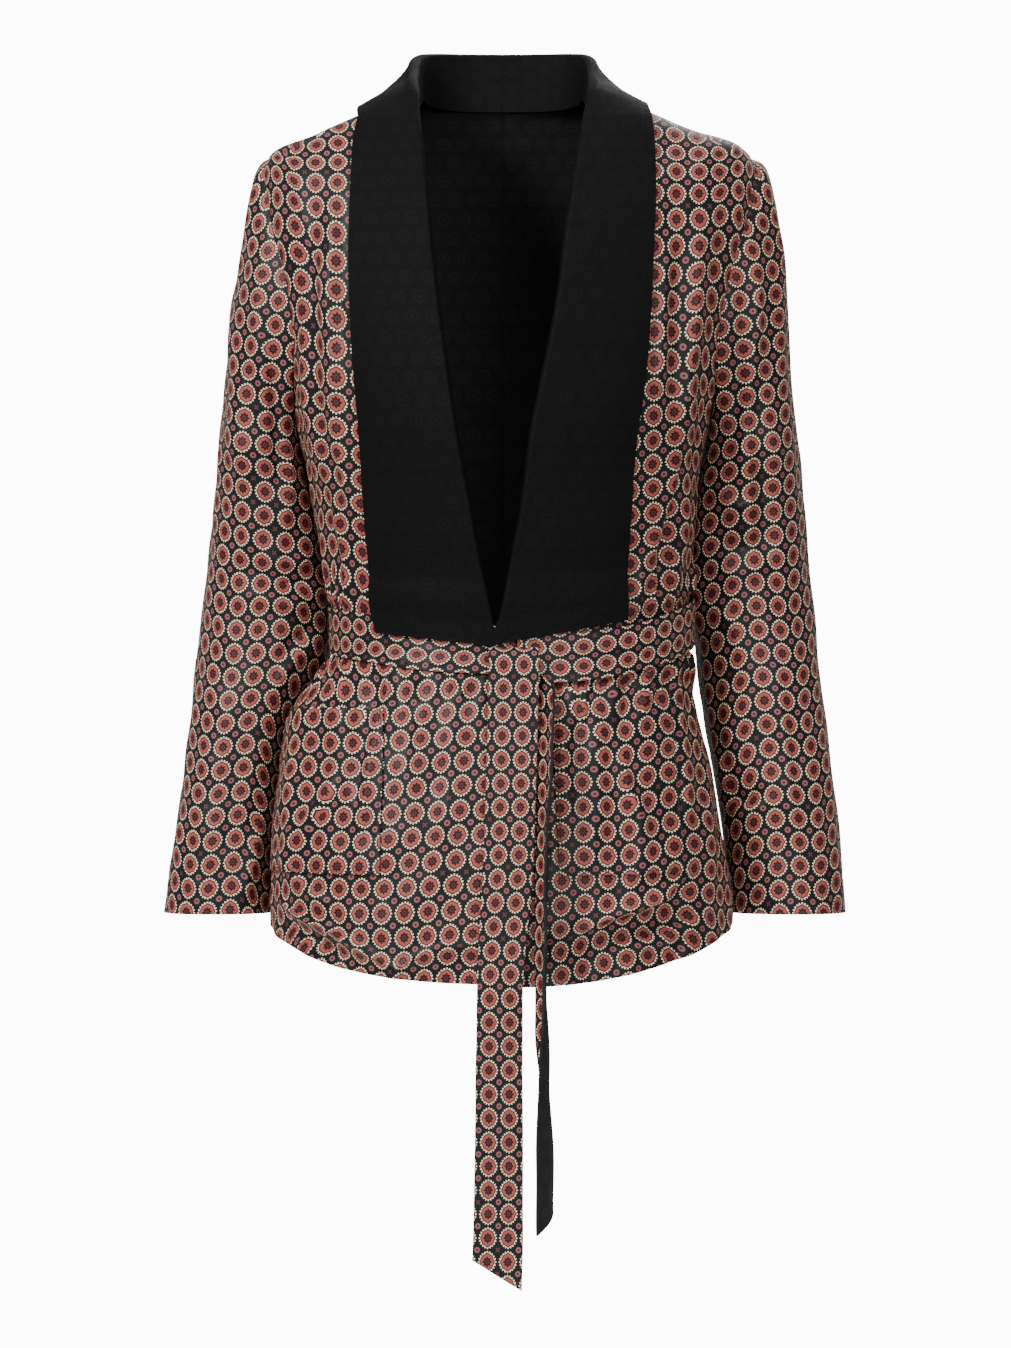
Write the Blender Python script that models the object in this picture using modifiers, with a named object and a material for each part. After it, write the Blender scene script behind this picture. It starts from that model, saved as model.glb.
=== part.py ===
"""Smoking jacket as it hangs on a figure: cut pieces, collar, pockets and tie belt, in metres.

+Z is up and the jacket faces -Y. The wearer's left is +X. Heights count from the neck point level.
"""
import math

import bpy
import numpy as np

MM = 0.001
CLOTH = 1.5 * MM           # wall of the printed cloth with its lining
COLLAR_WALL = 2.2 * MM     # collar cloth, two layers and interlining
FALL_BULGE = 2.0 * MM       # how far the collar's fall rounds out between its fold and its edge
BELT_WALL = 2.0 * MM       # belt strip, two layers
SEAM = 0.17 * MM           # each edge stands back this far from its seam line
POWER = 0.88               # roundness of the sections, 1 is an ellipse
OVERLAP = 2.2 * MM         # how far the right front lies out over the left one
ARM_MID = -0.1395          # middle height of the armhole
ARM_RISE = 0.0955          # half height of the armhole
ARM_FRONT = math.radians(23.0)
ARM_BACK = math.radians(21.0)
ARM_ROWS = 9
SHOULDER_ROWS = 4
NECK_HALF = 0.0725         # half width of the neckline
NECK_TOP = 0.0155          # height of the shoulder seam at the neckline
EDGE_RIGHT = 0.012         # front edge of the right front, past the middle
BREAK = -0.412             # height where the collar's roll ends above the belt
KNOT_DEPTH = -0.1263        # middle of the knot, front to back
KNOT_HEIGHT = -0.4572       # middle height of the knot
BELT_HALF = 0.0195         # half width of the belt

# Garment sections by height.
#        z       half width  half width  depth   depth
#                right       left        front   back
SECTIONS = [
    (+0.0170, 0.0700, 0.0720, 0.0450, 0.0560),
    (+0.0080, 0.0920, 0.0980, 0.0520, 0.0640),
    (+0.0000, 0.1110, 0.1180, 0.0580, 0.0700),
    (-0.0100, 0.1340, 0.1410, 0.0640, 0.0770),
    (-0.0200, 0.1555, 0.1645, 0.0700, 0.0830),
    (-0.0300, 0.1740, 0.1845, 0.0760, 0.0890),
    (-0.0380, 0.1850, 0.1960, 0.0805, 0.0930),
    (-0.0440, 0.1905, 0.2015, 0.0840, 0.0957),
    (-0.0600, 0.1975, 0.2075, 0.0920, 0.1020),
    (-0.0900, 0.1975, 0.2065, 0.1040, 0.1110),
    (-0.1350, 0.1890, 0.1965, 0.1170, 0.1180),
    (-0.1800, 0.1790, 0.1840, 0.1270, 0.1190),
    (-0.2350, 0.1700, 0.1710, 0.1320, 0.1150),
    (-0.2600, 0.1655, 0.1650, 0.1325, 0.1120),
    (-0.3000, 0.1570, 0.1580, 0.1290, 0.1060),
    (-0.3420, 0.1500, 0.1545, 0.1240, 0.0990),
    (-0.3810, 0.1430, 0.1515, 0.1180, 0.0940),
    (-0.4150, 0.1375, 0.1500, 0.1130, 0.0910),
    (-0.4360, 0.1375, 0.1500, 0.1130, 0.0910),
    (-0.4560, 0.1500, 0.1515, 0.1160, 0.0960),
    (-0.4760, 0.1660, 0.1550, 0.1205, 0.1030),
    (-0.5000, 0.1750, 0.1600, 0.1255, 0.1090),
    (-0.5380, 0.1800, 0.1680, 0.1320, 0.1160),
    (-0.5720, 0.1850, 0.1745, 0.1365, 0.1210),
    (-0.6000, 0.1870, 0.1800, 0.1395, 0.1240),
    (-0.6250, 0.1875, 0.1850, 0.1415, 0.1260),
    (-0.6500, 0.1880, 0.1860, 0.1430, 0.1275),
    (-0.7100, 0.1880, 0.1860, 0.1450, 0.1290),
]

# Collar seen from the front: roll line and outer edge on each side, by height.
#        z       roll right  edge right  roll left  edge left
LAPELS = [
    (-0.0150, 0.0665, 0.1150, 0.0635, 0.1175),
    (-0.0300, 0.0645, 0.1185, 0.0610, 0.1195),
    (-0.0600, 0.0610, 0.1200, 0.0560, 0.1205),
    (-0.1140, 0.0560, 0.1205, 0.0480, 0.1185),
    (-0.1500, 0.0520, 0.1200, 0.0440, 0.1165),
    (-0.2000, 0.0455, 0.1175, 0.0350, 0.1130),
    (-0.2700, 0.0350, 0.1115, 0.0210, 0.1040),
    (-0.3200, 0.0260, 0.1080, 0.0150, 0.1000),
    (-0.3600, 0.0190, 0.1050, 0.0075, 0.0975),
    (-0.4000, 0.0110, 0.1010, 0.0005, 0.0955),
    (-0.4330, 0.0048, 0.0930, -0.0036, 0.0940),
]

# Fold line of the collar round the neck, from the centre back to the front: point, and which way is out.
#        x       y       z       ox     oy     oz
NECK_FOLD = [
    (0.0000, 0.0720, 0.0545, 0.00, 1.00, 0.00),
    (0.0300, 0.0700, 0.0545, 0.30, 0.95, 0.00),
    (0.0550, 0.0580, 0.0535, 0.70, 0.71, 0.00),
    (0.0690, 0.0390, 0.0500, 0.93, 0.37, 0.00),
    (0.0730, 0.0170, 0.0410, 1.00, 0.08, 0.05),
    (0.0728, -0.0060, 0.0300, 0.98, -0.10, 0.10),
    (0.0718, -0.0250, 0.0215, 0.92, -0.30, 0.25),
    (0.0696, -0.0420, 0.0095, 0.80, -0.50, 0.33),
]
# Lower edge of the collar's inner strip and its outer edge at the same places.
#        inner x, y, z              outer x  y
NECK_EDGES = [
    (0.0000, 0.0575, 0.0060, 0.0000, 0.0900),
    (0.0290, 0.0550, 0.0060, 0.0400, 0.0880),
    (0.0490, 0.0440, 0.0065, 0.0750, 0.0775),
    (0.0610, 0.0270, 0.0080, 0.0960, 0.0600),
    (0.0650, 0.0100, 0.0105, 0.1070, 0.0370),
    (0.0655, -0.0060, 0.0080, 0.1120, 0.0090),
    (0.0672, -0.0240, 0.0020, 0.1140, -0.0140),
    (0.0730, -0.0375, -0.0100, 0.1152, -0.0320),
]

# Largest folds: side (-1 right, +1 left, 0 back), width, height, and the path's places as x, z.
FOLDS = [
    (-1, 0.0120, +0.0042, [(-0.1330, -0.070), (-0.1340, -0.180), (-0.1290, -0.260), (-0.1180, -0.340)]),
    (-1, 0.0090, +0.0040, [(-0.0880, -0.500), (-0.0960, -0.540), (-0.1080, -0.600)]),
    (-1, 0.0080, +0.0035, [(-0.1290, -0.530), (-0.1450, -0.590)]),
    (-1, 0.0090, +0.0030, [(-0.0550, -0.485), (-0.0600, -0.560)]),
    (+1, 0.0080, +0.0040, [(0.1540, -0.110), (0.1430, -0.215), (0.1330, -0.270), (0.1240, -0.330), (0.1120, -0.375)]),
    (+1, 0.0085, +0.0035, [(0.0900, -0.535), (0.1080, -0.600)]),
    (+1, 0.0080, +0.0040, [(0.1480, -0.490), (0.1550, -0.570)]),
    (0, 0.0120, +0.0050, [(-0.0950, -0.120), (-0.0850, -0.240), (-0.0700, -0.350)]),
    (0, 0.0120, +0.0045, [(0.0900, -0.130), (0.0780, -0.250), (0.0600, -0.350)]),
    (0, 0.0120, +0.0050, [(-0.0450, -0.480), (-0.0600, -0.600)]),
    (0, 0.0120, +0.0050, [(0.0500, -0.480), (0.0700, -0.600)]),
    (0, 0.0120, +0.0035, [(0.0000, -0.250), (0.0050, -0.370)]),
]

# Sleeve rings by height: outer and inner reach on each side, middle depth and half depth.
#        z       outer right  inner right  outer left  inner left  middle  half depth
SLEEVES = [
    (-0.2750, 0.2325, 0.1640, 0.2425, 0.1640, 0.0200, 0.0610),
    (-0.3030, 0.2350, 0.1500, 0.2450, 0.1510, 0.0330, 0.0600),
    (-0.3420, 0.2395, 0.1430, 0.2487, 0.1470, 0.0410, 0.0585),
    (-0.3810, 0.2440, 0.1370, 0.2522, 0.1450, 0.0440, 0.0570),
    (-0.4050, 0.2467, 0.1350, 0.2543, 0.1475, 0.0440, 0.0563),
    (-0.4200, 0.2480, 0.1370, 0.2555, 0.1545, 0.0435, 0.0558),
    (-0.4380, 0.2500, 0.1435, 0.2571, 0.1582, 0.0430, 0.0552),
    (-0.4560, 0.2518, 0.1550, 0.2596, 0.1605, 0.0420, 0.0545),
    (-0.4760, 0.2538, 0.1680, 0.2616, 0.1630, 0.0400, 0.0535),
    (-0.5000, 0.2565, 0.1760, 0.2647, 0.1665, 0.0380, 0.0525),
    (-0.5380, 0.2610, 0.1800, 0.2695, 0.1730, 0.0340, 0.0505),
    (-0.5750, 0.2670, 0.1850, 0.2738, 0.1795, 0.0310, 0.0490),
    (-0.6120, 0.2720, 0.1875, 0.2765, 0.1840, 0.0285, 0.0475),
    (-0.6490, 0.2760, 0.1885, 0.2790, 0.1865, 0.0265, 0.0460),
]
# Outline of the sleeve head by height: reach on the right and on the left.
HEADS = [
    (-0.0380, 0.1930, 0.2080),
    (-0.0500, 0.2000, 0.2147),
    (-0.0930, 0.2090, 0.2236),
    (-0.1350, 0.2145, 0.2268),
    (-0.1870, 0.2215, 0.2317),
    (-0.2460, 0.2290, 0.2380),
    (-0.2750, 0.2325, 0.2425),
]

# Belt: middle height by angle round the body, 0 front, positive towards the wearer's left.
BELT_LINE = [
    (-180.0, -0.4130), (-120.0, -0.4150), (-90.0, -0.4190), (-50.0, -0.4260), (-20.0, -0.4340),
    (0.0, -0.4370), (12.0, -0.4430), (35.0, -0.4370), (60.0, -0.4240), (90.0, -0.4120),
    (120.0, -0.4090), (180.0, -0.4130),
]

# Wide tail: height, left edge, right edge, depth.
TAIL_FRONT = [
    (-0.4342, -0.0105, 0.0278, -0.1245),
    (-0.4358, -0.0107, 0.0279, -0.1302),
    (-0.4405, -0.0109, 0.0281, -0.1332),
    (-0.4550, -0.0112, 0.0280, -0.1334),
    (-0.4750, -0.0118, 0.0278, -0.1338),
    (-0.5100, -0.0127, 0.0268, -0.1372),
    (-0.5500, -0.0138, 0.0256, -0.1420),
    (-0.6000, -0.0152, 0.0239, -0.1460),
    (-0.6500, -0.0180, 0.0196, -0.1488),
    (-0.6980, -0.0203, 0.0156, -0.1505),
    (-0.7500, -0.0210, 0.0153, -0.1515),
    (-0.8200, -0.0220, 0.0158, -0.1520),
    (-0.8800, -0.0230, 0.0156, -0.1525),
    (-0.9120, -0.0240, 0.0148, -0.1525),
]
# Side tail: height, near edge x, far edge x, near depth, far depth, how far its middle bows to the left.
TAIL_SIDE = [
    (-0.4560, 0.0262, 0.0330, -0.1240, -0.1280, 0.0000),
    (-0.4680, 0.0268, 0.0390, -0.1250, -0.1345, 0.0010),
    (-0.4850, 0.0275, 0.0385, -0.1270, -0.1480, 0.0020),
    (-0.5200, 0.0277, 0.0365, -0.1345, -0.1620, 0.0030),
    (-0.5600, 0.0262, 0.0345, -0.1395, -0.1690, 0.0035),
    (-0.6000, 0.0250, 0.0325, -0.1435, -0.1735, 0.0040),
    (-0.6500, 0.0248, 0.0315, -0.1465, -0.1765, 0.0040),
    (-0.7000, 0.0248, 0.0305, -0.1485, -0.1785, 0.0045),
    (-0.7300, 0.0252, 0.0295, -0.1490, -0.1790, 0.0055),
    (-0.7600, 0.0275, 0.0275, -0.1490, -0.1790, 0.0065),
    (-0.7900, 0.0310, 0.0262, -0.1485, -0.1785, 0.0065),
    (-0.8200, 0.0350, 0.0260, -0.1480, -0.1780, 0.0050),
    (-0.8500, 0.0372, 0.0258, -0.1480, -0.1775, 0.0035),
    (-0.8720, 0.0378, 0.0257, -0.1485, -0.1770, 0.0030),
]

COLOURS = {
    "print": (0.16, 0.07, 0.06),
    "black": (0.012, 0.012, 0.013),
}


def spline(xs, ys):
    """Smooth curve through points with no overshoot, as a function of an array."""
    xs = np.asarray(xs, float)
    ys = np.asarray(ys, float)
    order = np.argsort(xs)
    xs, ys = xs[order], ys[order]
    step = np.diff(xs)
    slope = np.diff(ys) / step
    grad = np.empty_like(ys)
    grad[0], grad[-1] = slope[0], slope[-1]
    same = slope[:-1] * slope[1:] > 0
    w1 = 2 * step[1:] + step[:-1]
    w2 = step[1:] + 2 * step[:-1]
    safe_a = np.where(same, slope[:-1], 1.0)
    safe_b = np.where(same, slope[1:], 1.0)
    grad[1:-1] = np.where(same, (w1 + w2) / (w1 / safe_a + w2 / safe_b), 0.0)

    def value(x):
        x = np.clip(np.asarray(x, float), xs[0], xs[-1])
        i = np.clip(np.searchsorted(xs, x) - 1, 0, len(xs) - 2)
        t = (x - xs[i]) / step[i]
        a = (1 + 2 * t) * (1 - t) ** 2
        b = t * (1 - t) ** 2
        c = t * t * (3 - 2 * t)
        d = t * t * (t - 1)
        return a * ys[i] + b * step[i] * grad[i] + c * ys[i + 1] + d * step[i] * grad[i + 1]

    return value


def columns(table):
    """One smooth curve for each column of a table after its first."""
    rows = np.array(table, float)
    return [spline(rows[:, 0], rows[:, k]) for k in range(1, rows.shape[1])]


WIDTH_RIGHT, WIDTH_LEFT, DEPTH_FRONT, DEPTH_BACK = columns(SECTIONS)
ROLL_RIGHT, EDGE_OF_RIGHT, ROLL_LEFT, EDGE_OF_LEFT = columns(LAPELS)
BELT_MIDDLE = columns(BELT_LINE)[0]
HEAD_RIGHT, HEAD_LEFT = columns(HEADS)


def ease(t):
    """Smooth step from 0 to 1."""
    t = np.clip(t, 0.0, 1.0)
    return t * t * (3 - 2 * t)


def unit(v):
    """Vectors of length 1 along the last axis."""
    return v / np.maximum(np.linalg.norm(v, axis=-1, keepdims=True), 1e-12)


def body(theta, z):
    """Point of the garment's outside at an angle (0 front, + to the left) and a height."""
    theta, z = np.broadcast_arrays(np.asarray(theta, float), np.asarray(z, float))
    s, c = np.sin(theta), np.cos(theta)
    wide = np.where(s >= 0, WIDTH_LEFT(z), WIDTH_RIGHT(z))
    deep = np.where(c >= 0, DEPTH_FRONT(z), DEPTH_BACK(z))
    x = np.sign(s) * wide * np.abs(s) ** POWER
    y = -np.sign(c) * deep * np.abs(c) ** POWER
    return np.stack([x, y, z], -1)


def normal(theta, z):
    """Outward normal of the garment's outside."""
    e, h = 0.012, 0.0015
    across = body(theta + e, z) - body(theta - e, z)
    top = SECTIONS[0][0]
    up = body(theta, np.minimum(z + h, top)) - body(theta, np.minimum(z - h, top))
    return unit(np.cross(across, up))


def angle_at(x, z, back=False):
    """Angle at which the section at height z reaches sideways to x."""
    wide = np.where(np.asarray(x) >= 0, WIDTH_LEFT(z), WIDTH_RIGHT(z))
    share = np.clip(np.abs(x) / wide, 0, 1) ** (1 / POWER)
    theta = np.sign(x) * np.arcsin(share)
    if back:
        theta = np.where(np.asarray(x) >= 0, math.pi - theta, -math.pi - theta)
    return theta


def along_path(path, x, z):
    """Distance of places from a path, and how far along it they lie, from 0 to 1."""
    path = np.array(path, float)
    lengths = np.hypot(*np.diff(path, axis=0).T)
    start = np.concatenate([[0], np.cumsum(lengths)])
    gap, at = np.full(x.shape, np.inf), np.zeros(x.shape)
    for k, length in enumerate(lengths):
        dx, dz = path[k + 1] - path[k]
        t = np.clip(((x - path[k, 0]) * dx + (z - path[k, 1]) * dz) / length ** 2, 0, 1)
        far = np.hypot(x - path[k, 0] - t * dx, z - path[k, 1] - t * dz)
        at = np.where(far < gap, (start[k] + t * length) / start[-1], at)
        gap = np.minimum(gap, far)
    return gap, at


def folds(side, point):
    """Height of the folds at points of a panel."""
    x, z = point[..., 0], point[..., 2]
    rise = np.zeros_like(x)
    for part, wide, high, path in FOLDS:
        if part != side:
            continue
        gap, at = along_path(path, x, z)
        rise += high * np.exp(-(gap / wide) ** 2) * ease(at / 0.3 + 0.25) * ease((1 - at) / 0.3 + 0.25)
    belt = BELT_MIDDLE(np.degrees(np.arctan2(x, -point[..., 1])))
    rise *= ease((np.abs(z - belt) - 0.026) / 0.030)
    if side:
        cover = EDGE_OF_RIGHT(z) if side < 0 else EDGE_OF_LEFT(z)
        above = z > belt
        rise *= np.where(above, ease((np.abs(x) - cover - 0.001) / 0.012), 1.0)
    return rise


def lap(theta, z):
    """How far the right front stands out where it lies over the left one."""
    share = 1 - ease((-np.degrees(theta) - 20) / 35)
    return OVERLAP * share * ease((-0.33 - z) / 0.08)


def neckline(theta):
    """Height of the neckline at angles near the shoulder."""
    heights = np.linspace(0.017, -0.03, 95)
    out = np.empty_like(theta)
    for i, t in enumerate(theta):
        wide = WIDTH_LEFT(heights) if math.sin(t) >= 0 else WIDTH_RIGHT(heights)
        reach = wide * abs(math.sin(t)) ** POWER
        out[i] = np.interp(NECK_HALF, reach, heights)
    return out


def armhole_angle(z, opening):
    """Angle taken from the side by the armhole at height z."""
    inside = 1 - ((z - ARM_MID) / ARM_RISE) ** 2
    return opening * np.sqrt(np.clip(inside, 0, 1))


def arm_heights():
    """Row heights along the armhole, the top one first."""
    turn = np.pi * np.arange(ARM_ROWS + 1) / ARM_ROWS
    return ARM_MID + ARM_RISE * np.cos(turn)


def hem_height(theta):
    """Height of the hem by angle."""
    c = np.cos(theta)
    front = np.where(np.sin(theta) < 0, 0.0435 * np.abs(c), 0.046 * np.abs(c) ** 1.45)
    return np.where(c >= 0, -0.6540 - front, -0.6540 - 0.018 * np.abs(c))


def front_edge(side, z):
    """Sideways position of a front's inner edge, positive on its own side."""
    roll = (ROLL_RIGHT(z) if side < 0 else ROLL_LEFT(z)) + 0.0045
    high = NECK_HALF + 0 * z
    t = ease((z + 0.030) / 0.022)
    above = roll * (1 - t) + high * t
    if side < 0:
        return np.where(z < -0.4365, -EDGE_RIGHT, above)
    below = -0.004 - 0.044 * ease((-0.4365 - z) / 0.030)
    return np.where(z < -0.4365, below, above)


def pull_in(grid, rows=(), cols=()):
    """Set chosen border rows and columns back from their seam lines."""
    out = grid.copy()
    for r in rows:
        step = grid[1 if r == 0 else r - 1] - grid[r]
        out[r] += unit(step) * SEAM
    for c in cols:
        step = out[:, 1 if c == 0 else c - 1] - out[:, c]
        out[:, c] += unit(step) * SEAM
    return out


def panel_rows(below):
    """Row heights at a panel's outer edge: shoulder, armhole, then the given ones."""
    arm = arm_heights()
    return np.concatenate([np.linspace(NECK_TOP, arm[0], SHOULDER_ROWS + 1)[:-1], arm, np.asarray(below)])


FRONT_BELOW = {
    -1: [-0.256, -0.280, -0.305, -0.330, -0.355, -0.378, -0.396, -0.409, -0.4215, -0.4345, -0.4395, -0.4475,
         -0.456, -0.469, -0.483, -0.502, -0.523, -0.545, -0.567, -0.590, -0.6125, -0.6350, -0.6540],
    1: [-0.256, -0.280, -0.305, -0.330, -0.355, -0.378, -0.396, -0.409, -0.4215, -0.4345, -0.4395, -0.4475,
        -0.456, -0.4665, -0.482, -0.502, -0.523, -0.545, -0.567, -0.590, -0.6125, -0.6350, -0.6540],
}
FRONT_COLS = {-1: 14, 1: 16}
BACK_BELOW = [-0.256, -0.285, -0.315, -0.345, -0.372, -0.393, -0.408, -0.422, -0.436, -0.452, -0.470, -0.495,
              -0.525, -0.560, -0.595, -0.6250, -0.6540]
BACK_HALF = 9
LINING_END = -0.470
POCKET_COLS = {-1: (5, 12), 1: (4, 10)}
POCKET_TOP = {-1: -0.483, 1: -0.4665}
POCKET_FOOT = -0.6125


def lower_rows(z, theta):
    """Bend rows below the hips towards the hem line."""
    start = -0.500
    share = np.clip((start - z) / (start + 0.6540), 0, 1)
    return np.where(z < start, start + (hem_height(theta) - start) * share, z)


def front_angles(side):
    """Angles and heights of a front panel's grid, and the same without the hem's bend."""
    edge_z = panel_rows(FRONT_BELOW[side])
    count = FRONT_COLS[side]
    share = np.linspace(0, 1, count + 1)
    theta = np.empty((len(edge_z), count + 1))
    z = np.empty_like(theta)
    first = math.radians(50.0)
    tip = SHOULDER_ROWS
    for j, height in enumerate(edge_z):
        outer = math.pi / 2 - float(armhole_angle(height, ARM_FRONT))
        if j < tip:
            mix = j / tip
            inner_z = 0.0105 * (1 - mix) + edge_z[tip] * mix
            inner = abs(float(angle_at(side * front_edge(side, inner_z), inner_z)))
            inner = first if j == 0 else inner
            row = inner + (outer - inner) * share
            top = neckline(side * row)
            z[j] = top * (1 - mix) + edge_z[tip] * mix
            z[j, -1] = height
        else:
            x = side * float(front_edge(side, np.float64(height)))
            inner = side * float(angle_at(x, height))
            row = inner + (outer - inner) * share
            z[j] = height
        theta[j] = side * row
    z = lower_rows(z, theta)
    return theta, z


def front_grid(side, lift=0.0):
    """Points of a front panel's outside."""
    theta, z = front_angles(side)
    base = body(theta, z)
    out = folds(side, base) + lift
    if side < 0:
        out = out + lap(theta, z)
    grid = base + normal(theta, z) * out[..., None]
    return pull_in(grid, cols=(grid.shape[1] - 1,))


def back_grid(below):
    """Points, angles and heights of the back panel's outside, from the right side to the left."""
    edge_z = panel_rows(below)
    half = BACK_HALF
    share = np.linspace(0, 1, half + 1)
    tip = SHOULDER_ROWS
    rows_t, rows_z = [], []
    for j, height in enumerate(edge_z):
        outer = math.pi / 2 + float(armhole_angle(height, ARM_BACK))
        left_t = math.pi + (outer - math.pi) * share
        right_t = -left_t
        if j < tip:
            mix = j / tip
            line = []
            for row in (right_t, left_t):
                top = np.where(np.degrees(np.abs(row)) > 138, 0.0080, neckline(row))
                top = np.minimum(np.maximum(top, 0.0080), NECK_TOP)
                zz = top * (1 - mix) + edge_z[tip] * mix
                zz[-1] = height
                line.append(zz)
        else:
            line = [np.full(half + 1, height)] * 2
        rows_t.append(np.concatenate([right_t[::-1], left_t[1:]]))
        rows_z.append(np.concatenate([line[0][::-1], line[1][1:]]))
    theta, z = np.array(rows_t), np.array(rows_z)
    z = lower_rows(z, theta)
    base = body(theta, z)
    grid = base + normal(theta, z) * folds(0, base)[..., None]
    return pull_in(grid, cols=(0, grid.shape[1] - 1))


def vertex_normals(grid, outward):
    """Normals of a grid of points, on the side of the given directions."""
    du = np.gradient(grid, axis=0)
    dv = np.gradient(grid, axis=1)
    n = unit(np.cross(du, dv))
    flip = np.sum(n * outward, -1) < 0
    n[flip] *= -1
    return n


def around_axis(grid):
    """Directions from the jacket's middle line to points."""
    out = grid.copy()
    out[..., 2] = 0
    return unit(out)


def level(p):
    """Below 0 inside the garment's outside, above 0 outside it."""
    z = np.clip(p[..., 2], SECTIONS[-1][0], SECTIONS[0][0])
    wide = np.where(p[..., 0] >= 0, WIDTH_LEFT(z), WIDTH_RIGHT(z))
    deep = np.where(p[..., 1] <= 0, DEPTH_FRONT(z), DEPTH_BACK(z))
    q = (np.abs(p[..., 0]) / wide) ** (2 / POWER) + (np.abs(p[..., 1]) / deep) ** (2 / POWER)
    return q ** (POWER / 2) - 1 + np.maximum(p[..., 2] - SECTIONS[0][0], 0) * 12


def height_at(x, y):
    """Height of the garment's outside over a place on the shoulders."""
    low, high = -0.15, SECTIONS[0][0]
    for _ in range(30):
        mid = (low + high) / 2
        if level(np.array([x, y, mid])) > 0:
            high = mid
        else:
            low = mid
    return (low + high) / 2


def distance(point):
    """Distance of points from the garment's outside, positive when outside it."""
    f = level(point)
    grad = np.empty_like(point)
    for k in range(3):
        step = np.zeros(3)
        step[k] = 2e-4
        grad[..., k] = (level(point + step) - level(point - step)) / 4e-4
    size = np.maximum(np.linalg.norm(grad, axis=-1), 1e-6)
    return f / size, grad / size[..., None]


def keep_off(point, gap, rounds=6):
    """Move points outwards until they stand the given gap off the garment's outside."""
    point = point.copy()
    for _ in range(rounds):
        far, way = distance(point)
        need = np.maximum(gap - far, 0)
        point += way * np.minimum(need, 0.01)[..., None]
    return point


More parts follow.
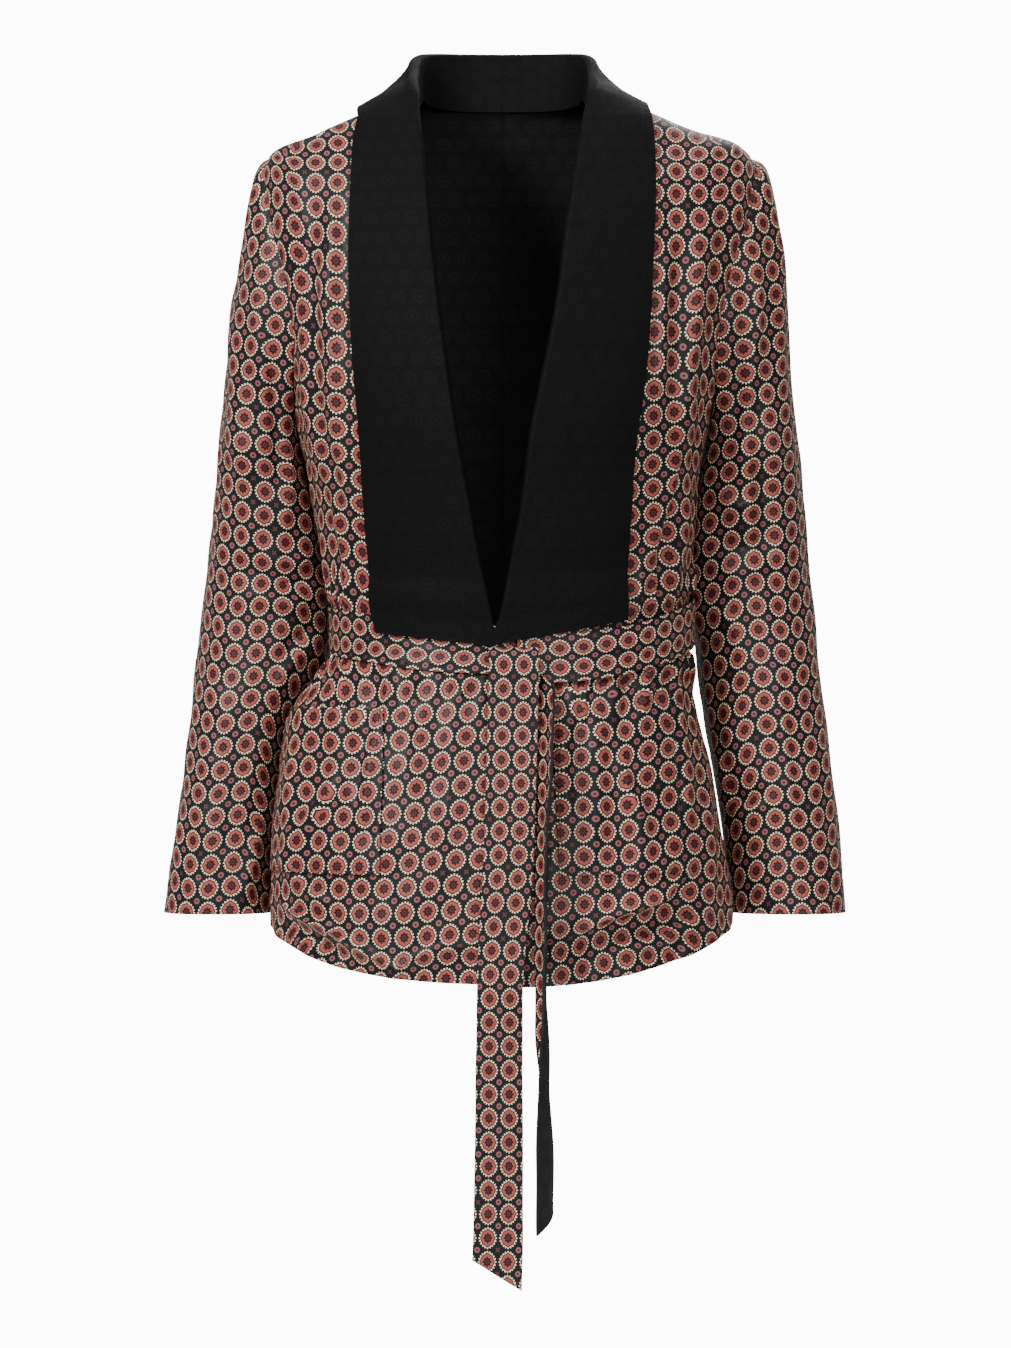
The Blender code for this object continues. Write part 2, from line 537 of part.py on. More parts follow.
def collar_grid(side):
    """Points of one collar half, from its inner edge over the roll to its outer edge."""
    neck_n = len(NECK_FOLD)
    roll_at, edge_at = (ROLL_RIGHT, EDGE_OF_RIGHT) if side < 0 else (ROLL_LEFT, EDGE_OF_LEFT)
    heights = [-0.0150, -0.032, -0.055, -0.085, -0.115, -0.145, -0.175, -0.205, -0.235, -0.265, -0.295,
               -0.320, -0.343, -0.363, -0.380, -0.392, -0.402, BREAK]
    fold, outs = [], []
    for x, y, z, ox, oy, oz in NECK_FOLD:
        fold.append((side * x, y, z))
        outs.append((side * ox, oy, oz))
    for z in heights:
        x = side * float(roll_at(z))
        theta = angle_at(x, z)
        n = normal(theta, np.float64(z))
        fold.append(tuple(body(theta, np.float64(z)) + n * 0.0004))
        outs.append(tuple(n))
    fold, outs = np.array(fold), unit(np.array(outs))
    along = unit(np.gradient(fold, axis=0))
    up = unit(np.cross(along, outs))
    sign = np.sign(up[0, 2])
    up = up * sign
    total = len(fold)
    roll_n, in_n, fall_n = 4, 2, 5
    grid = np.zeros((total, in_n + roll_n + fall_n + 1, 3))
    for i in range(total):
        f, u, o = fold[i], up[i], outs[i]
        deep = max(0, i - neck_n + 1)
        z = f[2]
        radius = 0.0036 + 0.0010 * float(ease((z + 0.02) / 0.02))
        low = float(ease((-0.372 - z) / 0.030))
        grow = 0.0040 * low
        if i < neck_n:
            inner = np.array([side * NECK_EDGES[i][0], NECK_EDGES[i][1], NECK_EDGES[i][2]])
            ex, ey = side * NECK_EDGES[i][3], NECK_EDGES[i][4]
            ez = height_at(ex, ey)
        else:
            ex, ez = side * float(edge_at(z)), z
            ix = f[0] + side * (0.012 + 0.013 * min(1.0, deep / 3))
            t = angle_at(ix, z)
            inner = body(t, np.float64(z)) - normal(t, np.float64(z)) * 0.0034
        high = 0.0016 * float(ease((z + 0.06) / 0.05))
        stand = 0.0022 + high + 0.0050 * low
        if i < neck_n:
            edge = keep_off(np.array([ex, ey, ez]), stand)
        else:
            te = angle_at(ex, np.float64(ez))
            edge = body(te, np.float64(ez)) + normal(te, np.float64(ez)) * stand
        start_in = f - u * radius - o * radius
        start_out = f - u * radius + o * (radius + grow)
        pts = []
        for k in range(in_n):
            t = k / in_n
            p = inner * (1 - t) + start_in * t
            if i >= neck_n + 1:
                a = angle_at(p[0], p[2])
                q = body(a, np.float64(p[2])) - normal(a, np.float64(p[2])) * 0.0034
                p = q * (1 - t ** 3) + p * t ** 3
            pts.append(p)
        middle = (start_in + start_out) / 2
        half = (start_out - start_in) / 2
        for k in range(roll_n + 1):
            a = math.pi * k / roll_n
            pts.append(middle - half * math.cos(a) + u * radius * math.sin(a))
        control = (start_out + edge) / 2 + o * FALL_BULGE
        for k in range(1, fall_n + 1):
            t = k / fall_n
            q = start_out * (1 - t) ** 2 + control * 2 * t * (1 - t) + edge * t * t
            if i >= neck_n - 2:
                x = start_out[0] * (1 - t) + ex * t
                zz = start_out[2] * (1 - t) + ez * t
                a = angle_at(x, np.float64(zz))
                off = (0.0040 + grow) * (1 - ease(t / 0.45)) + (0.0022 + high + 0.0050 * low) * ease(t / 0.45)
                flat = body(a, np.float64(zz)) + normal(a, np.float64(zz)) * off
                mix = float(ease((i - neck_n + 2) / 4))
                q = q * (1 - mix) + flat * mix
            pts.append(q)
        grid[i] = pts
    outer = slice(in_n + roll_n, None)
    clear = 0.0021 + 0.0017 * ease((fold[:, 2] + 0.05) / 0.04)
    grid[:, outer] = keep_off(grid[:, outer], clear[:, None] * np.ones(fall_n + 1))
    # The fall goes on below the roll to the collar's lower edge, so its last rows reach lower.
    ends = {-1: (-0.4325, -0.4225), 1: (-0.4310, -0.4120)}[side]
    first = neck_n + heights.index(-0.343)
    for i in range(first, total):
        share = (i - first) / (total - 1 - first)
        for k in range(fall_n + 1):
            t = k / fall_n
            goal = ends[0] + (ends[1] - ends[0]) * t ** 1.2
            z = -0.343 + (goal + 0.343) * share
            low = float(ease((-0.372 - z) / 0.026))
            x0 = side * (float(roll_at(z)) + 0.0034 * (1 - 0.7 * share))
            x = x0 * (1 - t) + side * float(edge_at(z)) * t
            a = angle_at(x, np.float64(z))
            near = (0.0040 + 0.0034 * low) * (1 - float(ease(t / 0.45)))
            off = near + (0.0022 + 0.0050 * low) * float(ease(t / 0.45))
            grid[i, in_n + roll_n + k] = body(a, np.float64(z)) + normal(a, np.float64(z)) * off
    grid[0, :, 0] = side * 0.00018
    return grid


def sleeve_grid(side):
    """Points of a sleeve's outside, rings from the armhole to the hem."""
    arm = arm_heights()
    count = 2 * ARM_ROWS
    ring0 = np.zeros((count, 3))
    lateral = np.zeros((count, 3))
    into = np.zeros((count, 3))
    centre = np.array([side * 0.19, 0.0, ARM_MID])
    for k in range(count):
        j = k if k <= ARM_ROWS else count - k
        z = arm[j]
        front = k <= ARM_ROWS
        opening = float(armhole_angle(z, ARM_FRONT if front else ARM_BACK))
        theta = side * (math.pi / 2 + (-opening if front else opening))
        ring0[k] = body(theta, np.float64(z))
        lateral[k] = normal(theta, np.float64(z))
    for k in range(count):
        along = ring0[(k + 1) % count] - ring0[k - 1]
        t = unit(np.cross(along, lateral[k]))
        if np.dot(t, centre - ring0[k]) < 0:
            t = -t
        into[k] = t
    ring0 = ring0 + into * 0.00035 + lateral * 0.00035

    cols = columns([(r[0], r[1 if side < 0 else 3], r[2 if side < 0 else 4], r[5], r[6]) for r in SLEEVES])
    phi = 2 * np.pi * np.arange(count) / count

    def ring(z):
        outer, inner, middle, deep = [float(c(z)) for c in cols]
        mid_x, half_x = (outer + inner) / 2, (outer - inner) / 2
        c, s = np.cos(phi), np.sin(phi)
        x = mid_x + half_x * np.sign(c) * np.abs(c) ** 0.94
        y = middle - deep * np.sign(s) * np.abs(s) ** 0.94
        return np.stack([side * x, y, np.full(count, z)], -1)

    first = ring(-0.2750)
    span = np.linalg.norm(first - ring0, axis=1)[:, None]
    top = (1 + np.cos(phi)) / 2
    out = np.zeros((count, 3))
    out[:, 0] = side
    way0 = unit(out * 0.75 + np.array([0, 0, -1.0]) * 0.7 + lateral * 0.3)
    strength = (0.30 + 0.35 * (1 - top))[:, None]
    rows = []
    head = HEAD_RIGHT if side < 0 else HEAD_LEFT
    for t in (0.0, 0.06, 0.14, 0.24, 0.36, 0.50, 0.65, 0.82, 1.0):
        h00 = 2 * t ** 3 - 3 * t * t + 1
        h10 = t ** 3 - 2 * t * t + t
        h01 = -2 * t ** 3 + 3 * t * t
        h11 = t ** 3 - t * t
        p = h00 * ring0 + h10 * way0 * span * strength + h01 * first + h11 * np.array([0, 0, -1.0]) * span
        if 0 < t < 1:
            fix = float(head(p[0, 2])) - side * p[0, 0]
            p[:, 0] += side * fix * top ** 2
        rows.append(p)
    for z in (-0.292, -0.309, -0.326, -0.343, -0.361, -0.379, -0.397, -0.417, -0.439, -0.462, -0.487,
              -0.514, -0.543, -0.572, -0.600, -0.626, -0.6490):
        rows.append(ring(z))
    grid = np.array(rows)
    # Creases at the elbow: height, angle round the arm, widths and depth.
    x, y, z = grid[..., 0], grid[..., 1], grid[..., 2]
    ang = np.broadcast_to(phi, z.shape)
    creases = {
        -1: [(-0.379, 150, 0.010, 60, -0.0035), (-0.361, 140, 0.010, 60, 0.0025), (-0.417, 200, 0.012, 60, -0.0025)],
        1: [(-0.343, 110, 0.012, 55, -0.0025), (-0.326, 120, 0.011, 50, 0.0025), (-0.543, 140, 0.012, 50, -0.0025)],
    }[side]
    axis = grid.mean(axis=1, keepdims=True)
    away = unit((grid - axis) * np.array([1, 1, 0]))
    for zc, ac, wz, wa, high in creases:
        d = (np.degrees(ang) - ac + 180) % 360 - 180
        amount = high * np.exp(-((z - zc) / wz) ** 2 - (d / wa) ** 2)
        grid = grid + away * amount[..., None]
    belt = 0.0068 * ease(1 - np.abs(grid[..., 2] + 0.418) / 0.055)
    body_part = grid[2:]
    grid[2:] = keep_off(body_part, np.maximum(0.0016, belt[2:]) * np.where(body_part[..., 2] > -0.25, 0.3, 1.0))
    return grid


def pocket_grid(side, panel):
    """Points of a pocket's outside, from the front's own points moved out."""
    c0, c1 = POCKET_COLS[side]
    edge_z = list(panel_rows(FRONT_BELOW[side]))
    r0, r1 = edge_z.index(POCKET_TOP[side]), edge_z.index(POCKET_FOOT)
    n = vertex_normals(panel, around_axis(panel))
    patch = panel[r0:r1 + 1, c0:c1 + 1] + n[r0:r1 + 1, c0:c1 + 1] * 0.0018
    return patch


def lining_grid(side, panel):
    """Points of half the back lining, from the back's own points moved in."""
    n = vertex_normals(panel, around_axis(panel))
    rows, mid = list(panel_rows(BACK_BELOW)).index(LINING_END) + 1, BACK_HALF
    inside = panel - n * (CLOTH + 0.0005)
    part = inside[:rows, mid:mid + 8] if side > 0 else inside[:rows, mid - 7:mid + 1][:, ::-1]
    part = part.copy()
    part[:, 0, 0] = side * 0.0002
    return part


def belt_grid():
    """Points of the belt's stretch round the waist, from behind the knot round and back to it."""
    theta = np.radians(np.concatenate([np.linspace(2.0, -90.0, 15), np.linspace(-90, -180, 10)[1:],
                                       np.linspace(180, 90, 10)[1:], np.linspace(90, 3.0, 15)[1:]]))
    degrees = np.degrees(theta)
    grid = np.zeros((len(theta), 4, 3))
    for k in range(4):
        z = BELT_MIDDLE(degrees) + BELT_HALF * (2 * k / 3 - 1)
        level = lap(theta, np.full_like(theta, -0.45))
        near = np.abs(degrees) < 89
        out = np.where(near, np.maximum(level, 0), 0) + 0.0009 + BELT_WALL
        grid[:, k] = body(theta, z) + normal(theta, z) * out[:, None]
    return grid


def strip(rows, width_points, slant):
    """Grid of a hanging tail from its table, with a slanted end."""
    rows = np.array(rows, float)
    if rows.shape[1] == 4:
        rows = np.concatenate([rows, rows[:, 3:4], 0 * rows[:, 3:4]], axis=1)
    share = np.linspace(0, 1, width_points)
    grid = np.zeros((len(rows), width_points, 3))
    for j, (z, x0, x1, y0, y1, bow) in enumerate(rows):
        grid[j, :, 0] = x0 + (x1 - x0) * share + bow * 4 * share * (1 - share)
        grid[j, :, 1] = y0 + (y1 - y0) * share
        grid[j, :, 2] = z
    grid[-1, :, 2] -= slant * share
    grid[-2, :, 2] -= slant * 0.5 * share
    return grid


def knot_grid():
    """Points round the belt's knot: a loop of strip about the crossing, wider in its middle."""
    turns = np.linspace(0, 2 * math.pi, 19)[:-1]
    xs = np.array([-0.0085, -0.0020, 0.0085, 0.0190, 0.0255])
    grid = np.zeros((len(xs), len(turns), 3))
    for i, x in enumerate(xs):
        bulge = 1 - 0.22 * ((x - 0.0085) / 0.017) ** 2
        z = KNOT_HEIGHT + 0.0172 * bulge * np.sign(np.sin(turns)) * np.abs(np.sin(turns)) ** 0.7
        y = KNOT_DEPTH - 0.0046 * bulge * np.sign(np.cos(turns)) * np.abs(np.cos(turns)) ** 0.7
        grid[i, :, 0], grid[i, :, 1], grid[i, :, 2] = x, y, z
    return grid


def finish(colour, rough):
    """A plain material in one colour."""
    mat = bpy.data.materials.new("cloth")
    mat.use_nodes = True
    shader = mat.node_tree.nodes["Principled BSDF"]
    shader.inputs["Base Color"].default_value = (*colour, 1.0)
    shader.inputs["Roughness"].default_value = rough
    mat.diffuse_color = (*colour, 1.0)
    return mat


def cloth(name, grid, wall, outward, colour, group, ring=False):
    """Make a walled piece from a grid of its outside points."""
    rows, cols = grid.shape[:2]
    points = grid.reshape(-1, 3)
    faces = []
    for j in range(rows - 1):
        for i in range(cols if ring else cols - 1):
            k = (i + 1) % cols
            faces.append((j * cols + i, j * cols + k, (j + 1) * cols + k, (j + 1) * cols + i))
    vote = 0.0
    for f in faces:
        a, b, c, d = (points[v] for v in f)
        vote += float(np.dot(np.cross(c - a, d - b), outward((a + b + c + d) / 4)))
    if vote < 0:
        faces = [f[::-1] for f in faces]
    mesh = bpy.data.meshes.new(name)
    mesh.from_pydata([tuple(p) for p in points], [], faces)
    mesh.update()
    obj = bpy.data.objects.new(name, mesh)
    group.objects.link(obj)
    mod = obj.modifiers.new("wall", "SOLIDIFY")
    mod.thickness = wall
    mod.offset = -1.0
    mod.use_even_offset = False
    obj.data.materials.append(finish(COLOURS[colour], 0.5))
    obj.data.materials[0].name = name + "_cloth"
    return obj


def main():
    """Clear the scene and build every piece."""
    for obj in list(bpy.data.objects):
        bpy.data.objects.remove(obj, do_unlink=True)
    group = bpy.data.collections.new("smoking_jacket")
    bpy.context.scene.collection.children.link(group)

    def from_middle(p):
        return np.array([p[0], p[1], 0.0])

    back = back_grid(BACK_BELOW)
    cloth("back", back, CLOTH, from_middle, "print", group)
    for side, hand in ((-1, "right"), (1, "left")):
        panel = front_grid(side)
        cloth("front_" + hand, panel, CLOTH, from_middle, "print", group)
        pocket = pocket_grid(side, panel)
        cloth("pocket_" + hand, pocket, 0.0014, from_middle, "print", group)
        sleeve = sleeve_grid(side)
        middle = sleeve.mean(axis=1)

        def from_arm(p, middle=middle, side=side):
            if p[2] > -0.25:
                return np.array([side * 1.0, 0.0, 0.3]) if side * p[0] > 0.19 else np.array([0, p[1], 0.0])
            centre = middle[np.argmin(np.abs(middle[:, 2] - p[2]))]
            return (p - centre) * np.array([1, 1, 0])

        cloth("sleeve_" + hand, sleeve, CLOTH, from_arm, "print", group, ring=True)
        collar = collar_grid(side)
        fall = collar[:, -4]

        def from_fall(p, fall=fall):
            return np.array([0, 0, 1.0]) if p[2] > 0.045 else from_middle(p) * 0 + unit(from_middle(p)) * (
                1.0 if np.min(np.linalg.norm(fall - p, axis=1)) < 0.03 else 0.0)

        obj = cloth("collar_" + hand, collar, COLLAR_WALL, from_fall, "black", group)
        obj.modifiers["wall"].offset = 0.0
        cloth("lining_" + hand, lining_grid(side, back), 0.0010, from_middle, "black", group)
    cloth("belt_waist", belt_grid(), BELT_WALL, from_middle, "print", group)

    cloth("belt_knot", knot_grid(), 0.0016, lambda p: p - np.array([p[0], KNOT_DEPTH, KNOT_HEIGHT]), "print", group,
          ring=True)
    cloth("belt_tail_front", strip(TAIL_FRONT, 4, 0.0240), BELT_WALL, lambda p: np.array([0, -1.0, 0]), "print",
          group)
    cloth("belt_tail_side", strip(TAIL_SIDE, 5, 0.0180), BELT_WALL, lambda p: np.array([-1.0, 0, 0]), "print",
          group)


main()
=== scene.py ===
"""Looks of a smoking jacket in printed satin with a black shawl collar, dressed over its solid frame."""

import logging
import math
from dataclasses import dataclass, field
from enum import Enum
from typing import Callable, Optional, Sequence, Union

import bpy
import numpy as np
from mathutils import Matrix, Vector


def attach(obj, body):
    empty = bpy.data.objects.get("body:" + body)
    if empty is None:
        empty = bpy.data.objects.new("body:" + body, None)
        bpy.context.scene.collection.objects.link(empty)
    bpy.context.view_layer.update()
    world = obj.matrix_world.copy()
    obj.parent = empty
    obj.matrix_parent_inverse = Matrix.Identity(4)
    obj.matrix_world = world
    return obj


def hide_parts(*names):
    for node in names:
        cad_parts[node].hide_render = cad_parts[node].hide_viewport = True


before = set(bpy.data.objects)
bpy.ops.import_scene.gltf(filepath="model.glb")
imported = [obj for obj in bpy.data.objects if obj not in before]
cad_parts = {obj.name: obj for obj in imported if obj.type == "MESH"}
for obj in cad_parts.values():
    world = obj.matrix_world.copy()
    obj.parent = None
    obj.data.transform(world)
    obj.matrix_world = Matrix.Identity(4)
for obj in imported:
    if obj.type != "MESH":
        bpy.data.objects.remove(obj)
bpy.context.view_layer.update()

LOG = logging.getLogger("smoking_jacket")
Array = np.ndarray
Socket = Union[bpy.types.NodeSocket, float]
Colour = tuple[float, float, float]

UV_NAME = "cloth"
MM = 0.001
CLOTH_WALL = 1.5 * MM
COLLAR_WALL = 2.2 * MM
BELT_WALL = 2.0 * MM
LINING_WALL = 0.8 * MM
KNOT_WALL = 1.6 * MM
SEAM_GAP = 0.03 * MM
SEAM_DIP = 1.0 * MM
UNEVEN = 1.4 * MM
ROUNDNESS = 0.88
SHARP_ANGLE = math.radians(55)
FRONT_CLOTHS = ["front_right_cloth", "front_left_cloth"]


def metres(*rows: Sequence[float]) -> tuple[tuple[float, ...], ...]:
    """Rows of a table that is written in millimetres."""
    return tuple(tuple(value * MM for value in row) for row in rows)


# Garment sections by height: z, half widths on the right and left, depths in front and behind.
SECTIONS = metres(
    (17, 70, 72, 45, 56),
    (8, 92, 98, 52, 64),
    (0, 111, 118, 58, 70),
    (-10, 134, 141, 64, 77),
    (-20, 155.5, 164.5, 70, 83),
    (-30, 174, 184.5, 76, 89),
    (-38, 185, 196, 80.5, 93),
    (-44, 190.5, 201.5, 84, 95.7),
    (-60, 197.5, 207.5, 92, 102),
    (-90, 197.5, 206.5, 104, 111),
    (-135, 189, 196.5, 117, 118),
    (-180, 179, 184, 127, 119),
    (-235, 170, 171, 132, 115),
    (-260, 165.5, 165, 132.5, 112),
    (-300, 157, 158, 129, 106),
    (-342, 150, 154.5, 124, 99),
    (-381, 143, 151.5, 118, 94),
    (-415, 137.5, 150, 113, 91),
    (-436, 137.5, 150, 113, 91),
    (-456, 150, 151.5, 116, 96),
    (-476, 166, 155, 120.5, 103),
    (-500, 175, 160, 125.5, 109),
    (-538, 180, 168, 132, 116),
    (-572, 185, 174.5, 136.5, 121),
    (-600, 187, 180, 139.5, 124),
    (-625, 187.5, 185, 141.5, 126),
    (-650, 188, 186, 143, 127.5),
    (-710, 188, 186, 145, 129),
)

# Collar seen from the front, by height: z, roll line and outer edge on the right, then on the left.
LAPELS = metres(
    (-15, 66.5, 115, 63.5, 117.5),
    (-30, 64.5, 118.5, 61, 119.5),
    (-60, 61, 120, 56, 120.5),
    (-114, 56, 120.5, 48, 118.5),
    (-150, 52, 120, 44, 116.5),
    (-200, 45.5, 117.5, 35, 113),
    (-270, 35, 111.5, 21, 104),
    (-320, 26, 108, 15, 100),
    (-360, 19, 105, 7.5, 97.5),
    (-400, 11, 101, 0.5, 95.5),
    (-433, 4.8, 93, -3.6, 94),
)

# Fold line of the collar round the neck in metres, from the centre back: point, and which way is out.
NECK_FOLD = (
    (0.0000, 0.0720, 0.0545, 0.00, 1.00, 0.00),
    (0.0300, 0.0700, 0.0545, 0.30, 0.95, 0.00),
    (0.0550, 0.0580, 0.0535, 0.70, 0.71, 0.00),
    (0.0690, 0.0390, 0.0500, 0.93, 0.37, 0.00),
    (0.0730, 0.0170, 0.0410, 1.00, 0.08, 0.05),
    (0.0728, -0.0060, 0.0300, 0.98, -0.10, 0.10),
    (0.0718, -0.0250, 0.0215, 0.92, -0.30, 0.25),
    (0.0696, -0.0420, 0.0095, 0.80, -0.50, 0.33),
)
# Lower edge of the collar's inner strip, x, y, z, and its outer edge, x, y, at the same places.
NECK_EDGES = (
    (0.0000, 0.0575, 0.0060, 0.0000, 0.0900),
    (0.0290, 0.0550, 0.0060, 0.0400, 0.0880),
    (0.0490, 0.0440, 0.0065, 0.0750, 0.0775),
    (0.0610, 0.0270, 0.0080, 0.0960, 0.0600),
    (0.0650, 0.0100, 0.0105, 0.1070, 0.0370),
    (0.0655, -0.0060, 0.0080, 0.1120, 0.0090),
    (0.0672, -0.0240, 0.0020, 0.1140, -0.0140),
    (0.0730, -0.0375, -0.0100, 0.1152, -0.0320),
)

# Sleeve rings by height: z, outer and inner reach on the right and on the left, middle depth, half depth.
SLEEVES = metres(
    (-275, 232.5, 160, 242.5, 160, 27, 61),
    (-303, 235, 150, 245, 151, 36, 60),
    (-342, 239.5, 143, 248.7, 147, 41, 58.5),
    (-381, 244, 137, 252.2, 145, 44, 57),
    (-405, 246.7, 135, 254.3, 147.5, 44, 56.3),
    (-420, 248, 137, 255.5, 154.5, 43.5, 55.8),
    (-438, 250, 140.5, 257.1, 158.2, 43, 55.2),
    (-456, 251.8, 148, 259.6, 160, 42, 54.5),
    (-476, 253.8, 161, 261.6, 162, 40, 53.5),
    (-500, 256.5, 171.5, 264.7, 165.5, 38, 52.5),
    (-538, 261, 179, 269.5, 172.5, 34, 50.5),
    (-575, 267, 183, 273.8, 177.8, 31, 49),
    (-612, 272, 186, 276.5, 182, 28.5, 47.5),
    (-649, 276, 188.5, 279, 186.5, 26.5, 46),
)
# Outline of the sleeve head by height: z, reach on the right and on the left.
HEADS = metres(
    (-38, 193, 208),
    (-50, 200, 214.7),
    (-93, 209, 223.6),
    (-135, 214.5, 226.8),
    (-187, 221.5, 231.7),
    (-246, 229, 238),
    (-275, 232.5, 242.5),
)

# Belt: middle height by angle round the body, 0 front, positive towards the wearer's left.
BELT_LINE = (
    (-180.0, -0.4130), (-120.0, -0.4150), (-90.0, -0.4190), (-50.0, -0.4260), (-20.0, -0.4340),
    (0.0, -0.4370), (12.0, -0.4430), (35.0, -0.4370), (60.0, -0.4240), (90.0, -0.4120),
    (120.0, -0.4090), (180.0, -0.4130),
)

# Wide tail: height, left edge, right edge, depth.
TAIL_FRONT = metres(
    (-434.2, -10.5, 27.8, -124.5),
    (-435.8, -10.7, 27.9, -130.2),
    (-440.5, -10.9, 28.1, -133.2),
    (-455, -11.2, 28, -133.4),
    (-475, -11.8, 27.8, -133.8),
    (-510, -12.7, 26.8, -137.2),
    (-550, -13.8, 25.6, -142),
    (-600, -15.2, 23.9, -146),
    (-650, -18, 19.6, -148.8),
    (-698, -20.3, 15.6, -150.5),
    (-750, -21, 15.3, -151.5),
    (-820, -22, 15.8, -152),
    (-880, -23, 15.6, -152.5),
    (-912, -24, 14.8, -152.5),
)
# Side tail: height, near edge x, far edge x, near depth, far depth, how far its middle bows to the left.
TAIL_SIDE = metres(
    (-456, 26.2, 33, -124, -128, 0),
    (-468, 26.8, 39, -125, -134.5, 1),
    (-485, 27.5, 38.5, -127, -148, 2),
    (-520, 27.7, 36.5, -134.5, -162, 3),
    (-560, 26.2, 34.5, -139.5, -169, 3.5),
    (-600, 25, 32.5, -143.5, -173.5, 4),
    (-650, 24.8, 31.5, -146.5, -176.5, 4),
    (-700, 24.8, 30.5, -148.5, -178.5, 4.5),
    (-730, 25.2, 29.5, -149, -179, 5.5),
    (-760, 27.5, 27.5, -149, -179, 6.5),
    (-790, 31, 26.2, -148.5, -178.5, 6.5),
    (-820, 35, 26, -148, -178, 5),
    (-850, 37.2, 25.8, -148, -177.5, 3.5),
    (-872, 37.8, 25.7, -148.5, -177, 3),
)


class Hand(Enum):
    """The wearer's side that a piece is cut for."""

    RIGHT = -1
    LEFT = 1

    @property
    def word(self) -> str:
        """Name of the side as it stands in a piece's name."""
        return self.name.lower()

    def pick(self, right: object, left: object) -> object:
        """Choose what belongs to this side."""
        return right if self is Hand.RIGHT else left


class Face(Enum):
    """Which half of a sleeve a crease lies on."""

    FRONT = 1
    BACK = -1


def in_scene(name: str, data: bpy.types.ID) -> bpy.types.Object:
    """Put a new object with this data in the scene."""
    obj = bpy.data.objects.new(name, data)
    bpy.context.scene.collection.objects.link(obj)
    return obj


def spline(xs: Sequence[float], ys: Sequence[float]) -> Callable[[Array], Array]:
    """Make a smooth curve through points with no overshoot.

    Args:
        xs: Places of the points, in any order.
        ys: Values at those places.

    Returns:
        A function that gives the curve's value at an array of places.
    """
    order = np.argsort(xs)
    at, val = np.asarray(xs, float)[order], np.asarray(ys, float)[order]
    step = np.diff(at)
    slope = np.diff(val) / step
    grad = np.empty_like(val)
    grad[0], grad[-1] = slope[0], slope[-1]
    same = slope[:-1] * slope[1:] > 0
    w1, w2 = 2 * step[1:] + step[:-1], step[1:] + 2 * step[:-1]
    safe_a, safe_b = np.where(same, slope[:-1], 1.0), np.where(same, slope[1:], 1.0)
    grad[1:-1] = np.where(same, (w1 + w2) / (w1 / safe_a + w2 / safe_b), 0.0)

    def value(x: Array) -> Array:
        x = np.clip(np.asarray(x, float), at[0], at[-1])
        i = np.clip(np.searchsorted(at, x) - 1, 0, len(at) - 2)
        t = (x - at[i]) / step[i]
        low = (1 + 2 * t) * (1 - t) ** 2 * val[i] + t * (1 - t) ** 2 * step[i] * grad[i]
        return low + t * t * (3 - 2 * t) * val[i + 1] + t * t * (t - 1) * step[i] * grad[i + 1]

    return value


def columns(table: Sequence[Sequence[float]]) -> list[Callable[[Array], Array]]:
    """Give one smooth curve for each column of a table after its first."""
    rows = np.array(table, float)
    return [spline(rows[:, 0], rows[:, k]) for k in range(1, rows.shape[1])]


def ease(t: Array) -> Array:
    """Smooth step from 0 to 1."""
    t = np.clip(t, 0.0, 1.0)
    return t * t * (3 - 2 * t)


def unit(v: Array) -> Array:
    """Vectors of length 1 along the last axis."""
    return v / np.maximum(np.linalg.norm(v, axis=-1, keepdims=True), 1e-12)


def refine(grid: Array, rows: int, cols: int) -> Array:
    """Draw a smooth surface through a coarse grid of points.

    Args:
        grid: Points, rows by columns by 3.
        rows: Parts that each step between rows is cut into.
        cols: Parts that each step between columns is cut into.

    Returns:
        The finer grid, which keeps every point of the coarse one.
    """
    for axis, parts in ((0, rows), (1, cols)):
        g = np.moveaxis(grid, axis, 0)
        ends = np.concatenate([2 * g[:1] - g[1:2], g, 2 * g[-1:] - g[-2:-1]])
        t = (np.arange(parts) / parts)[None, :, None, None]
        a, b, c, d = (ends[k:len(ends) - 3 + k, None] for k in range(4))
        bend = 2 * b + (c - a) * t + (2 * a - 5 * b + 4 * c - d) * t ** 2 + (3 * b - a - 3 * c + d) * t ** 3
        fine = np.concatenate([(bend / 2).reshape(-1, *g.shape[1:]), g[-1:]])
        grid = np.moveaxis(fine, 0, axis)
    return grid


def smooth(tube: Array, rounds: int) -> Array:
    """Relax the points of a tube towards their neighbours, and leave its ends.

    Args:
        tube: Rings of points.
        rounds: How often.

    Returns:
        The relaxed points.
    """
    for _ in range(rounds):
        soft = (2 * tube + np.roll(tube, 1, 1) + np.roll(tube, -1, 1)) / 4
        soft[1:-1] = (2 * soft[1:-1] + soft[2:] + soft[:-2]) / 4
        soft[0], soft[-1] = tube[0], tube[-1]
        tube = soft
    return tube


def run_along(points: Array, axis: int) -> Array:
    """Distance run along one axis of points, from 0 at its start."""
    steps = np.linalg.norm(np.diff(points, axis=axis), axis=-1)
    return np.insert(np.cumsum(steps, axis=axis), 0, 0.0, axis=axis)


def grid_normals(grid: Array, outward: Array) -> Array:
    """Normals of a grid of points, on the side of the given directions."""
    n = unit(np.cross(np.gradient(grid, axis=0), np.gradient(grid, axis=1)))
    n[np.sum(n * outward, -1) < 0] *= -1
    return n


def closed(ring: Array) -> Array:
    """Rings of points with their first column again at the end."""
    return np.concatenate([ring, ring[:, :1]], axis=1)


